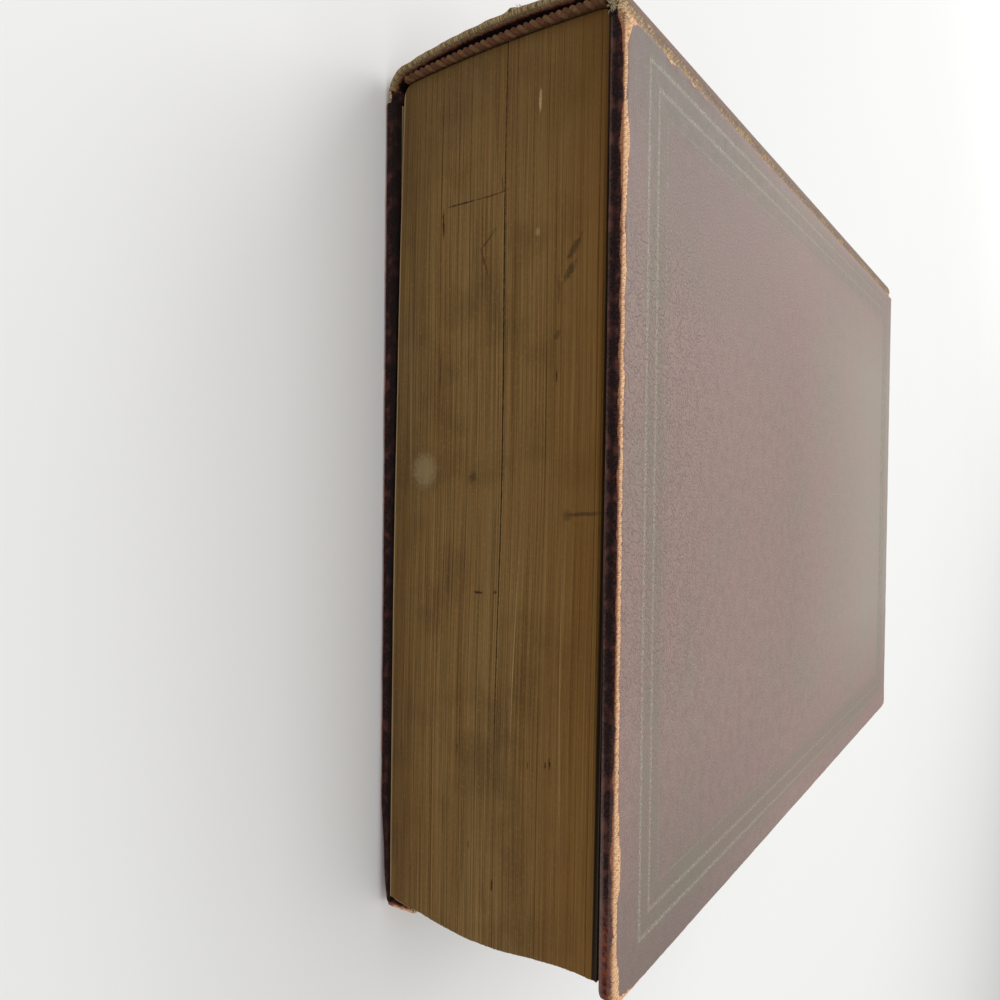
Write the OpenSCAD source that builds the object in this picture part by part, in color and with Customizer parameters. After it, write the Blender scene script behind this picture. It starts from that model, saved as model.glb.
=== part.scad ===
// A thick case-bound book lying on its back cover.
// X runs from the spine (-X) to the fore-edge (+X), Y from the tail (-Y) to the head (+Y)
// and Z up through the thickness. The origin is under the middle of the whole book.

/* [Book] */
// Width from the outermost point of the spine to the fore-edge of the boards
book_w = 207; // [150:1:260]
// Height of the boards from tail to head
book_h = 278; // [200:1:360]
// Thickness over both covers
book_t = 65.4; // [45:0.2:100]

/* [Covers] */
// Thickness of each pasteboard
board_t = 2.6; // [1.6:0.1:4]
// Thickness of the leather-grained covering
cover_t = 0.6; // [0.4:0.05:1]
// Width of the covering turned in over the inner faces
turn_in_w = 16; // [10:0.5:25]
// Plan radius of the worn corners at the fore-edge
corner_r = 3; // [1.5:0.1:6]
// Radius of the long outer edges of a cover
arris_r = 1.2; // [0.8:0.05:1.8]
// Radius of the inner edges of a cover
inner_arris_r = 0.5; // [0.2:0.05:1]

/* [Joints] */
// Clear width of the groove between a board and the spine
groove_w = 2.6; // [2:0.05:4]
// Distance from the centre of the spine shoulder to the middle of the groove
groove_offset = 1.1; // [0.6:0.05:2]
// Gap at the bottom of a groove, where the covering folds
fold_gap = 0.3; // [0.2:0.05:0.6]

/* [Spine] */
// Radius of the rounded shoulders of the spine
shoulder_r = 5.6; // [4.6:0.1:8]
// Bulge of the middle of the spine beyond its shoulders
spine_bow = 2.1; // [1:0.1:6]
// How far the shoulders lie below the face of the covers
shoulder_drop = 0.8; // [0.4:0.05:1.5]
// Thickness of the stiffener strip inside the spine
inlay_t = 0.8; // [0.4:0.05:1.2]
// Length of covering turned in at the tail and head of the spine
cap_turn_in = 15; // [8:0.5:25]
// Hollow between the turned-in cap and the lined back, at its widest
hollow = 2.3; // [1.7:0.1:5]

/* [Text block] */
// Overhang of the boards beyond the pages at tail and head
square = 2.8; // [2.4:0.1:6]
// Mean overhang of the boards beyond the pages at the fore-edge
fore_square = 2.9; // [2.5:0.1:8]
// Half height of the slight S curve in the fore-edge
fore_wave = 1.3; // [0:0.1:2]
// How far the fore-edge side of the pages has sagged towards the tail
sag = 2.6; // [0:0.1:3.5]
// Radius of the shoulders of the pages
back_r = 3; // [2:0.1:5]
// Bulge of the back of the pages beyond its shoulders
back_bow = 0.8; // [0.3:0.1:2]
// Thickness of an endpaper leaf
paper_t = 0.2; // [0.15:0.01:0.4]
// Room between an endpaper leaf and the cover that closes on it
leaf_gap = 0.3; // [0.2:0.05:0.6]
// Number of sewn sections that the edges of the pages show
section_count = 22; // [6:1:40]
// Width of the line between two sections
section_line_w = 0.2; // [0.1:0.05:0.5]
// Depth of the line between two sections
section_line_deep = 0.4; // [0.1:0.05:1]
// How far a line between two sections lies from even spacing, at most
section_shift = 0.7; // [0:0.1:1]
// Width of the crack where the pages have parted
crack_w = 0.4; // [0.2:0.05:1]
// Depth of that crack
crack_deep = 1.2; // [0.4:0.1:3]

/* [Back linings] */
// Thickness of the open-weave mull on the back of the pages
mull_t = 0.6; // [0.5:0.05:1]
// Thickness of the sewing tapes under the mull
tape_t = 0.3; // [0.2:0.05:0.45]
// Width of a sewing tape
tape_w = 12; // [8:0.5:20]
// Number of sewing tapes
tape_count = 4; // [2:1:5]
// Thickness of the paper lining over the mull
lining_t = 0.3; // [0.2:0.05:0.5]
// How far the mull stops short of the tail and head of the pages
mull_short = 6; // [2:0.5:20]

/* [Endbands] */
// Radius of the endband's thread wraps
wrap_r = 1; // [0.7:0.05:1.2]
// Radius of the cord inside the wraps
core_r = 0.75; // [0.5:0.05:0.95]
// Distance from one wrap to the next
wrap_pitch = 2; // [1.4:0.05:4]
// Length of one wrap along the cord
wrap_l = 1.4; // [1:0.05:1.8]
// Lean of the wraps
wrap_slant = 22; // [0:1:30]
// Length of the endband's cloth skirt on the back of the pages
skirt_l = 12; // [6:0.5:20]

/* [Bumped corner] */
// Height to which the back cover's tail corner is bent up
bump_h = 11; // [6:0.5:14]
// Length of the bent corner along the fore-edge
bump_l = 10; // [6:0.5:20]
// Thickness of the bent corner
bump_t = 2; // [1:0.1:2.2]

/* [Hidden] */

// Length by which a cutter passes the face that it cuts
cut = 1;
// Steps in a small round edge, in a shoulder and in the long curve of a back
edge_steps = 6;
shoulder_steps = 8;
bow_steps = 14;
// Steps in the fore-edge curve, and the place along it where the S curve starts
wave_steps = 24;
wave_start = 0.18;
// Clearance that keeps an endband's bead off the ends of the pages
bead_seat = 0.15;
// How far a link of the cord reaches into a wrap at each end
link_bite = 0.05;
// Turn from one section's shift to the next, so that none repeats
golden_turn = 137.5;

fore_x = book_w / 2;
spine_x = -book_w / 2;
tail_y = -book_h / 2;
head_y = book_h / 2;
mid_z = book_t / 2;

// Levels of the front cover, from the outside in; the back cover mirrors them
board_top_z = book_t - cover_t;
board_bottom_z = board_top_z - board_t;
turn_in_z = board_bottom_z - cover_t;
pastedown_z = turn_in_z - paper_t;
flyleaf_z = pastedown_z - leaf_gap;
block_top_z = flyleaf_z - paper_t;

// The spine's own curve, then the flatter one of the back of the pages
spine_half = mid_z - shoulder_drop;
block_half = block_top_z - mid_z;
back_x = spine_x + 2 * cover_t + inlay_t + hollow + lining_t + mull_t;
back_c = back_x + back_bow + back_r;

// Middle of the groove and hinge line, and the trough of covering in it
hinge_x = spine_x + spine_bow + shoulder_r + groove_offset;
trough_r = groove_w / 2;
trough_z = pastedown_z + cover_t + trough_r;
board_x = hinge_x + trough_r + cover_t;
lining_end_x = hinge_x - trough_r - cover_t;

// Ends of the pages at the spine; the sag moves them at the fore-edge
block_tail_y = tail_y + square;
block_head_y = head_y - square;

// Points on an arc from angle a0 to angle a1
function arc(x, y, r, a0, a1, steps) = [
    for (i = [0:steps])
        let (a = a0 + (a1 - a0) * i / steps)
            [x + r * cos(a), y + r * sin(a)]
];

// A bar with its own radius at each corner, anticlockwise from the lower left
function bar(x0, x1, y0, y1, r) = concat(
    arc(x0 + r[0], y0 + r[0], r[0], 180, 270, edge_steps),
    arc(x1 - r[1], y0 + r[1], r[1], 270, 360, edge_steps),
    arc(x1 - r[2], y1 - r[2], r[2], 0, 90, edge_steps),
    arc(x0 + r[3], y1 - r[3], r[3], 90, 180, edge_steps)
);

// A rounded back in X and Z, from its upper to its lower shoulder.
// x is its outermost point, half its half height, r its shoulder radius and bow its bulge.
function back_curve(x, half, r, bow, grow) =
    let (
        c = x + bow + r,
        h = half - r,
        q = (bow * bow + h * h) / (2 * bow),
        lean = atan(h / (q - bow))
    )
    concat(
        arc(c, mid_z + h, r + grow, 90, 180 - lean, shoulder_steps),
        arc(x + q + r, mid_z, q + r + grow, 180 - lean, 180 + lean, bow_steps),
        arc(c, mid_z - h, r + grow, 180 + lean, 270, shoulder_steps)
    );

function spine_curve(grow) = back_curve(spine_x, spine_half, shoulder_r, spine_bow, grow);
function pages_curve(grow) = back_curve(back_x, block_half, back_r, back_bow, grow);

// Fore-edge of the pages at height t, from 0 at the bottom leaf to 1 at the top leaf
function fore_edge_x(t) = fore_x - fore_square + fore_wave * sin(360 * (t - wave_start));

// Extrude a profile drawn in X and Z along Y
module along_y(y0, y1) {
    translate([0, y1, 0]) rotate([90, 0, 0]) linear_extrude(y1 - y0) children();
}

// Extrude a profile drawn in Y and Z along X
module along_x(x0, x1) {
    translate([x0, 0, 0]) rotate([90, 0, 90]) linear_extrude(x1 - x0) children();
}

// Extrude a plan drawn in X and Y along Z
module along_z(z0, z1) {
    translate([0, 0, z0]) linear_extrude(z1 - z0) children();
}

// Turn what is drawn for the front cover over to the back
module to_back() {
    translate([0, 0, book_t]) mirror([0, 0, 1]) children();
}

// Plan of a cover inside its edge by a margin, from x0 to the fore-edge
module cover_plan(x0, margin) {
    r = max(corner_r - margin, inner_arris_r);
    polygon(bar(x0, fore_x - margin, tail_y + margin, head_y - margin, [0, r, r, 0]));
}

// Section of the covering at one side of the groove
module trough_half(side) {
    translate([hinge_x, trough_z]) intersection() {
        difference() {
            circle(r = trough_r + cover_t, $fn = 48);
            circle(r = trough_r, $fn = 48);
        }
        translate([side > 0 ? fold_gap / 2 : -book_t, -book_t]) square([book_t - fold_gap / 2, book_t]);
    }
}

module board() {
    along_z(board_bottom_z, board_top_z) cover_plan(board_x, cover_t);
}

module covering() {
    wall_x = hinge_x + trough_r;
    difference() {
        intersection() {
            along_y(tail_y, head_y) {
                polygon(bar(wall_x, fore_x, turn_in_z, book_t, [0, inner_arris_r, arris_r, inner_arris_r]));
                trough_half(1);
            }
            along_x(hinge_x, fore_x)
                polygon(bar(tail_y, head_y, pastedown_z, book_t,
                    [inner_arris_r, inner_arris_r, arris_r, arris_r]));
            along_z(pastedown_z - cut, book_t + cut) cover_plan(hinge_x, 0);
        }
        board();
        along_z(turn_in_z - cut, board_bottom_z)
            polygon(bar(board_x, fore_x - turn_in_w, tail_y + turn_in_w, head_y - turn_in_w, [0, 0, 0, 0]));
    }
}

// The pasted leaf steps down from the turned-in covering onto the bare board
module pastedown() {
    margin = cover_t + square / 2;
    difference() {
        union() {
            along_z(pastedown_z, turn_in_z) cover_plan(board_x, margin);
            along_z(pastedown_z, board_bottom_z) turn_in_window(0);
        }
        along_z(pastedown_z - cut, board_bottom_z - paper_t) turn_in_window(paper_t);
    }
}

module turn_in_window(shrink) {
    x0 = shrink > 0 ? board_x - cut : board_x;
    polygon(bar(x0, fore_x - turn_in_w - shrink,
        tail_y + turn_in_w + shrink, head_y - turn_in_w - shrink, [0, 0, 0, 0]));
}

// Plan of the pages inside their ends by a margin, up to x1: straight at the spine,
// sagged towards the tail at the fore-edge
module pages_plan(margin, x1) {
    drop = sag * (x1 - back_x) / (fore_x - back_x);
    polygon([
        [back_x, block_tail_y + margin],
        [x1, block_tail_y + margin - drop],
        [x1, block_head_y - margin - drop],
        [back_x, block_head_y - margin]
    ]);
}

module flyleaf() {
    intersection() {
        along_z(block_top_z, flyleaf_z) pages_plan(0, fore_x);
        along_y(2 * tail_y, 2 * head_y)
            polygon(bar(back_c, fore_edge_x(1), block_top_z, flyleaf_z, [0, 0, 0, 0]));
    }
}

// A layer on the back of the pages, from one offset to another, between two heights
module back_layer(inner, outer, y0, y1) {
    along_y(y0, y1) intersection() {
        difference() {
            polygon(pages_curve(outer));
            polygon(pages_curve(inner));
        }
        translate([spine_x, 0]) square([lining_end_x - spine_x, book_t]);
    }
}

// A layer of the spine's shell, inside the spine's face by two depths
module spine_layer(deep, shallow, y0, y1) {
    along_y(y0, y1) intersection() {
        difference() {
            polygon(spine_curve(-shallow));
            polygon(spine_curve(-deep));
        }
        translate([spine_x, 0]) square([hinge_x - trough_r - spine_x, book_t]);
    }
}

module tapes() {
    first_y = block_tail_y + skirt_l + tape_w;
    last_y = block_head_y - skirt_l - tape_w;
    for (i = [0:tape_count - 1])
        let (y = first_y + (last_y - first_y) * i / (tape_count - 1))
            back_layer(0, tape_t, y - tape_w / 2, y + tape_w / 2);
}

// The curve that an endband's cord follows over the ends of the pages. Its wraps
// reach into the middle of the skirt: [radius, shoulder height, bow circle, lean].
function bead_curve() =
    let (
        inset = wrap_r - mull_t - lining_t / 2,
        h = block_half - back_r,
        q = (back_bow * back_bow + h * h) / (2 * back_bow)
    )
    [back_r - inset, h, q, atan(h / (q - back_bow))];

function bead_length() =
    let (b = bead_curve())
        (2 * b[0] * (90 - b[3]) + (b[2] + b[0]) * 2 * b[3]) * PI / 180;

// A place on that curve at length s: [x, z, angle of its outward normal]
function bead_place(s) =
    let (
        b = bead_curve(),
        big = b[2] + b[0],
        shoulder = b[0] * (90 - b[3]) * PI / 180,
        long = big * 2 * b[3] * PI / 180,
        upper = s < shoulder,
        lower = s > shoulder + long,
        angle = upper ? 90 + s / b[0] * 180 / PI
            : lower ? 180 + b[3] + (s - shoulder - long) / b[0] * 180 / PI
            : 180 - b[3] + (s - shoulder) / big * 180 / PI,
        centre = upper ? [back_c, mid_z + b[1]] : lower ? [back_c, mid_z - b[1]]
            : [back_x + b[2] + back_r, mid_z],
        r = upper || lower ? b[0] : big
    )
    [centre[0] + r * cos(angle), centre[1] + r * sin(angle), angle];

// Middle of the cord along Y, so that the leaning wraps clear the pages
function bead_y() =
    block_tail_y - wrap_r * cos(wrap_slant) - wrap_l / 2 * sin(wrap_slant) - bead_seat;

// Set something along an endband's cord at length s
module on_bead(s) {
    p = bead_place(s);
    translate([p[0], bead_y(), p[1]]) rotate([0, -p[2], 0]) children();
}

// A cord with slanting thread wraps over it, drawn for the tail, and its skirt
module endband() {
    usable = bead_length() - 2 * wrap_r;
    wraps = floor(usable / wrap_pitch);
    step = usable / wraps;
    link_l = step - wrap_l / cos(wrap_slant) + 2 * core_r * tan(wrap_slant) + 2 * link_bite;
    for (i = [0:wraps - 1]) {
        on_bead(wrap_r + (i + 0.5) * step)
            color(i % 2 == 0 ? "SaddleBrown" : "Tan")
                rotate([wrap_slant, 0, 0]) cylinder(r = wrap_r, h = wrap_l, center = true, $fn = 24);
        if (i < wraps - 1) on_bead(wrap_r + (i + 1) * step)
            color("Peru") cylinder(r = core_r, h = link_l, center = true, $fn = 24);
    }
    color("Tan")
        back_layer(mull_t, mull_t + lining_t, bead_y(), block_tail_y + skirt_l);
}

module front_board() {
    color("BurlyWood") board();
}

module front_covering() {
    color("RosyBrown") covering();
}

module front_pastedown() {
    color("Wheat") pastedown();
}

module front_flyleaf() {
    color("Wheat") flyleaf();
}

module back_board() {
    color("BurlyWood") to_back() board();
}

// The tail corner at the fore-edge is crushed and bent up against the pages
module back_covering() {
    color("RosyBrown") {
        to_back() covering();
        difference() {
            intersection() {
                along_x(fore_x - bump_t, fore_x)
                    polygon([
                        [tail_y, cover_t + arris_r], [tail_y + bump_l, cover_t + arris_r],
                        [tail_y + bump_l, book_t - turn_in_z], [tail_y + bump_l / 3, bump_h],
                        [tail_y, bump_h - arris_r]
                    ]);
                along_z(0, bump_h) cover_plan(hinge_x, 0);
            }
            to_back() board();
        }
    }
}

module back_pastedown() {
    color("Wheat") to_back() pastedown();
}

module back_flyleaf() {
    color("Wheat") intersection() {
        along_z(book_t - flyleaf_z, book_t - block_top_z) pages_plan(0, fore_x);
        along_y(2 * tail_y, 2 * head_y)
            polygon(bar(back_c, fore_edge_x(0), book_t - flyleaf_z, book_t - block_top_z, [0, 0, 0, 0]));
    }
}

// The lines between the sections, cut round the tail, the fore-edge and the head
module text_block() {
    block_bottom_z = book_t - block_top_z;
    block_h = block_top_z - block_bottom_z;
    fore_edge = [
        for (i = [0:wave_steps])
            let (t = i / wave_steps)
                [fore_edge_x(t), block_bottom_z + block_h * t]
    ];
    color("DarkKhaki") difference() {
        intersection() {
            along_y(2 * tail_y, 2 * head_y) polygon(concat(pages_curve(0), fore_edge));
            along_z(block_bottom_z - cut, block_top_z + cut) pages_plan(0, fore_x);
        }
        for (i = [1:section_count - 1])
            let (
                middle = i == round(section_count / 2),
                w = middle ? crack_w : section_line_w,
                deep = middle ? crack_deep : section_line_deep,
                z = block_bottom_z + block_h * i / section_count
                    + (middle ? 0 : section_shift * sin(golden_turn * i))
            )
                along_z(z - w / 2, z + w / 2) difference() {
                    translate([back_c, 2 * tail_y]) square([book_w, 2 * book_h]);
                    pages_plan(deep, fore_edge_x((z - block_bottom_z) / block_h) - deep);
                }
    }
}

module sewing_tapes() {
    color("Linen") tapes();
}

module mull() {
    color("Ivory") difference() {
        back_layer(0, mull_t, block_tail_y + mull_short, block_head_y - mull_short);
        tapes();
    }
}

module spine_lining() {
    color("Tan") back_layer(mull_t, mull_t + lining_t, block_tail_y + skirt_l, block_head_y - skirt_l);
}

module tail_endband() {
    endband();
}

module head_endband() {
    mirror([0, 1, 0]) endband();
}

module spine_inlay() {
    color("BurlyWood") intersection() {
        spine_layer(cover_t + inlay_t, cover_t, tail_y + cover_t, head_y - cover_t);
        translate([spine_x, tail_y, mid_z - spine_half + shoulder_r / 2])
            cube([shoulder_r + spine_bow, book_h, 2 * spine_half - shoulder_r]);
    }
}

// The covering of the spine, with its caps turned in over the stiffener
module spine_covering() {
    deep = 2 * cover_t + inlay_t;
    color("RosyBrown") {
        spine_layer(cover_t, 0, tail_y, head_y);
        for (end = [0, 1]) mirror([0, end, 0]) {
            spine_layer(deep, 0, tail_y, tail_y + cover_t);
            spine_layer(deep, deep - cover_t, tail_y, tail_y + cap_turn_in);
        }
        joint_side();
        to_back() joint_side();
    }
}

// The spine's side of a groove: the trough and the wall up to the shoulder
module joint_side() {
    along_y(tail_y, head_y) {
        trough_half(-1);
        translate([lining_end_x, trough_z])
            square([cover_t, mid_z + spine_half - cover_t / 2 - trough_z]);
    }
}

front_board();
front_covering();
front_pastedown();
front_flyleaf();
back_board();
back_covering();
back_pastedown();
back_flyleaf();
text_block();
sewing_tapes();
mull();
spine_lining();
tail_endband();
head_endband();
spine_inlay();
spine_covering();
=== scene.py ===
"""A thick old case-bound book on a pale table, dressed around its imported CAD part."""

import math
import random

import bmesh
import bpy
import numpy as np
from mathutils import Matrix, Vector, noise


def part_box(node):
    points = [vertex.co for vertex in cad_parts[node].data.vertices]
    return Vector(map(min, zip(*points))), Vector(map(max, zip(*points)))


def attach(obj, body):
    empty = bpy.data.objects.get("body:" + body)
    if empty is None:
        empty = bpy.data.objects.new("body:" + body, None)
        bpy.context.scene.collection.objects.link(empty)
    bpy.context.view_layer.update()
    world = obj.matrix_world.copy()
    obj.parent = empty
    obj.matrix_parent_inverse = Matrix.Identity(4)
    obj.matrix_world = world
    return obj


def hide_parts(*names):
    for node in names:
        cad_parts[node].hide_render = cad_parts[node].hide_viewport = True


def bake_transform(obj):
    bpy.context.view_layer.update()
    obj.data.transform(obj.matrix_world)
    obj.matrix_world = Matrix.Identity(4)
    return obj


bl_info = {
    "name": "Antique book",
    "version": (1, 0, 0),
    "blender": (4, 5, 0),
    "location": "View3D > Sidebar > Book",
    "description": "Builds a worn, leather-grained hardcover book piece by piece",
    "category": "Object",
}

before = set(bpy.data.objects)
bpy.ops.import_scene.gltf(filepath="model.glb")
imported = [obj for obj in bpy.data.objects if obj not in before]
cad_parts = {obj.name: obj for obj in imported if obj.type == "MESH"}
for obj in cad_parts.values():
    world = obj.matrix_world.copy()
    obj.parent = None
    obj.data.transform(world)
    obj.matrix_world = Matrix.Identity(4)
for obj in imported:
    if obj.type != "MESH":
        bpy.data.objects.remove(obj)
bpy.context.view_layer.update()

# Lengths in this file are in millimetres, and become metres when a mesh is made
MM = 0.001


def box_mm(node):
    """Lowest and highest corner of a CAD node."""
    low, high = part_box(node)
    return [value / MM for value in low], [value / MM for value in high]


cover_low, cover_high = box_mm("front_covering")
board_low, board_high = box_mm("front_board")
_, leaf_high = box_mm("front_flyleaf")
paste_low, _ = box_mm("front_pastedown")
pages_low, pages_high = box_mm("text_block")
spine_low, spine_high = box_mm("spine_covering")

BOOK_T = cover_high[2]
MID_Z = BOOK_T / 2
FORE_X = cover_high[0]
TAIL_Y = cover_low[1]
HEAD_Y = cover_high[1]
SPINE_X = spine_low[0]

# Covers
COVER_T = BOOK_T - board_high[2]
TURN_IN_W = 16.0
CORNER_R = 3.0
ARRIS_R = 1.2
SPINE_ARRIS_R = 0.5
INNER_ARRIS_R = 0.5
TURN_IN_DEPTH = BOOK_T - board_low[2] + COVER_T
BOARD_SIDE_X = board_low[0] - COVER_T

# Joints: the groove beside the spine, and the line about which a cover turns
GROOVE_R = 1.3
GROOVE_X = BOARD_SIDE_X - GROOVE_R
SHOULDER_SIDE_X = GROOVE_X - GROOVE_R

# Spine
SHOULDER_R = 5.6
SPINE_BOW = 2.1
SPINE_HALF = spine_high[2] - MID_Z
CAP_TURN_IN = 15.0
CAP_INNER = 1.8
CAP_R = 0.68

# Pages, with the layers on their rounded back
BACK_X = pages_low[0]
BACK_R = 3.0
BACK_BOW = 0.8
BLOCK_HALF = (pages_high[2] - pages_low[2]) / 2
BLOCK_BOTTOM = pages_low[2]
PAGES_TAIL_Y = -136.2
PAGES_HEAD_Y = pages_high[1]
SAG = PAGES_TAIL_Y - pages_low[1]
FORE_MEAN_X = 100.6
FORE_WAVE = 1.3
WAVE_START = 0.18
SECTIONS = 22
SECTION_SHIFT = 0.7
GOLDEN_TURN = math.radians(137.5)
LINING_IN = 0.6
LINING_OUT = 0.9

# The gap where the pages have parted: the line between sections where it lies, and its depth
CRACK_LINE = 12
CRACK_DEPTH = 1.6

# Endbands: the skirt's length, and how far the cord stands off the back of the pages and past their ends
SKIRT_L = 12.0
CORD_PROUD = 0.9
CORD_OUT = 1.34


def srgb(code):
    """Linear colour with alpha from a hex code."""
    parts = [int(code[i : i + 2], 16) / 255 for i in (1, 3, 5)]
    return (*[c / 12.92 if c <= 0.04045 else ((c + 0.055) / 1.055) ** 2.4 for c in parts], 1.0)


def ease(x, low, high):
    """0 below low, 1 above high and smooth between, for numbers and arrays."""
    t = np.clip((np.asarray(x, float) - low) / (high - low), 0.0, 1.0)
    eased = t * t * (3 - 2 * t)
    return float(eased) if eased.ndim == 0 else eased


def drift(x, y, z=0.0):
    """Smooth noise from about -1 to 1 that is the same on each run."""
    return noise.noise(Vector((x, y, z)))


def colour(name, text, code):
    return bpy.props.FloatVectorProperty(
        name=name, description=text, subtype="COLOR", size=4, min=0.0, max=1.0, default=srgb(code)
    )


def length(name, text, value, high):
    return bpy.props.FloatProperty(
        name=name, description=text, subtype="DISTANCE", unit="LENGTH",
        default=value * MM, min=0.0, max=high * MM, precision=4,
    )


class BookSizes(bpy.types.PropertyGroup):
    wear_width: length("Wear width", "Half width of the strip of cloth bared along an edge", 0.56, 4)
    ridge_height: length("Ridge height", "How far the bared cloth swells out of an edge", 0.22, 1)
    leaf_relief: length("Leaf relief", "Unevenness of single leaves at the page edges", 0.07, 0.5)
    section_relief: length("Section relief", "Unevenness of whole sections at the page edges", 0.12, 1)
    cord_radius: length("Endband radius", "Radius of an endband's twisted cord", 1.02, 2)
    wrap_pitch: length("Wrap pitch", "Distance between the turns of an endband's cord", 1.65, 5)
    thread_radius: length("Thread radius", "Radius of a loose thread at a frayed corner", 0.065, 0.5)


class BookColours(bpy.types.PropertyGroup):
    # The leather of the faces is painted lighter than the covering's own maroon: a painted sheen
    leather: colour("Leather", "Faded maroon of the covering", "#9A8079")
    leather_dull: colour("Dull leather", "Grey olive patches in the covering", "#8E8476")
    leather_dark: colour("Dark leather", "Oxblood kept on the edges, out of the light", "#46201A")
    # The covers' bared cloth is painted lighter than the cloth itself, a painted highlight on the lit edges; the cap
    # cloth is darker, partly with painted shade
    cloth: colour("Bared cloth", "Tan cloth under the worn leather", "#FFD6AA")
    cap_cloth: colour("Cap cloth", "Olive cloth bared at the caps and joints", "#A89068")
    torn: colour("Torn rim", "Reddish rim where the leather thins to the cloth", "#94605A")
    gilt: colour("Rubbed gilt", "What is left of the gilt lines", "#C6C4AA")
    pages: colour("Page edges", "Toned edges of the leaves", "#806336")
    pages_dark: colour("Page shadows", "Dark lines between the leaves", "#3E2810")
    pages_light: colour("Page lights", "Edges of the cleaner leaves", "#987A4A")
    endpaper: colour("Endpaper", "Aged paper of the endleaves", "#C2A67C")
    thread_a: colour("Endband red", "Red-brown thread of the endbands", "#6E4630")
    thread_b: colour("Endband tan", "Tan thread of the endbands", "#7E5C3C")
    table: colour("Table", "Pale top of the table", "#F5F5F3")


def add(tree, kind, feeds=None, **settings):
    """Add one node with its settings. In feeds, a node or socket is linked and any other value is set."""
    node = tree.nodes.new("ShaderNode" + kind)
    for key, value in settings.items():
        setattr(node, key, value)
    for key, value in (feeds or {}).items():
        if isinstance(value, bpy.types.Node):
            value = next(output for output in value.outputs if output.enabled)
        if isinstance(value, bpy.types.NodeSocket):
            tree.links.new(value, node.inputs[key])
        else:
            node.inputs[key].default_value = value
    return node


def new_tree(name):
    """A material with an empty node tree."""
    material = bpy.data.materials.new(name)
    material.use_nodes = True
    material.node_tree.nodes.clear()
    return material, material.node_tree


def layered(tree, paint, *layers):
    """Lays colours over paint. Each has the value that places it, where that starts and is full, and its strength."""
    for value, start, full, strength, tint in layers:
        share = add(tree, "MapRange", {"Value": value, "From Min": start, "From Max": full, "To Max": strength})
        paint = add(tree, "Mix", {0: share, 6: paint, 7: tint}, data_type="RGBA")
    return paint


def place_mm(tree):
    """Where a point lies on its object, in millimetres."""
    place = add(tree, "TexCoord").outputs["Object"]
    return add(tree, "VectorMath", {0: place, 1: (1 / MM, 1 / MM, 1 / MM)}, operation="MULTIPLY")


# The impressed frame on the front cover: the middle of its rectangle, its half sides, and its
# lines by how far each lies inside the outer one, with half its width and how much gilt it keeps
FRAME_X = 2.6
FRAME_HALF = (91.5, 128.3)
FRAME_LINES = ((0.0, 0.5, 1.0), (4.5, 0.5, 0.9), (9.0, 0.3, 0.35))
FRAME_BAND = (4.2, 4.2, 7.0)


def gilt_frame(tree, x, y):
    """How much gilt lies at a point of the front cover, and how far it is in the rubbed band."""
    side = add(tree, "Math", {0: add(tree, "Math", {0: x, 1: FRAME_X}, operation="SUBTRACT")}, operation="ABSOLUTE")
    end = add(tree, "Math", {0: y}, operation="ABSOLUTE")
    inside = add(tree, "Math", {
        0: add(tree, "Math", {0: FRAME_HALF[0], 1: side}, operation="SUBTRACT"),
        1: add(tree, "Math", {0: FRAME_HALF[1], 1: end}, operation="SUBTRACT"),
    }, operation="MINIMUM")
    lines = 0.0
    for place, half_w, share in FRAME_LINES:
        off = add(tree, "Math", {
            0: add(tree, "Math", {0: inside, 1: place}, operation="SUBTRACT"),
        }, operation="ABSOLUTE")
        line = add(tree, "MapRange", {
            "Value": off, "From Min": half_w - 0.25, "From Max": half_w + 0.25, "To Min": share, "To Max": 0.0,
        })
        lines = add(tree, "Math", {0: lines, 1: line}, operation="MAXIMUM")
    middle, full, none = FRAME_BAND
    off = add(tree, "Math", {0: add(tree, "Math", {0: inside, 1: middle}, operation="SUBTRACT")}, operation="ABSOLUTE")
    band = add(tree, "MapRange", {"Value": off, "From Min": full, "From Max": none, "To Min": 1.0, "To Max": 0.0})
    return lines, band
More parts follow.
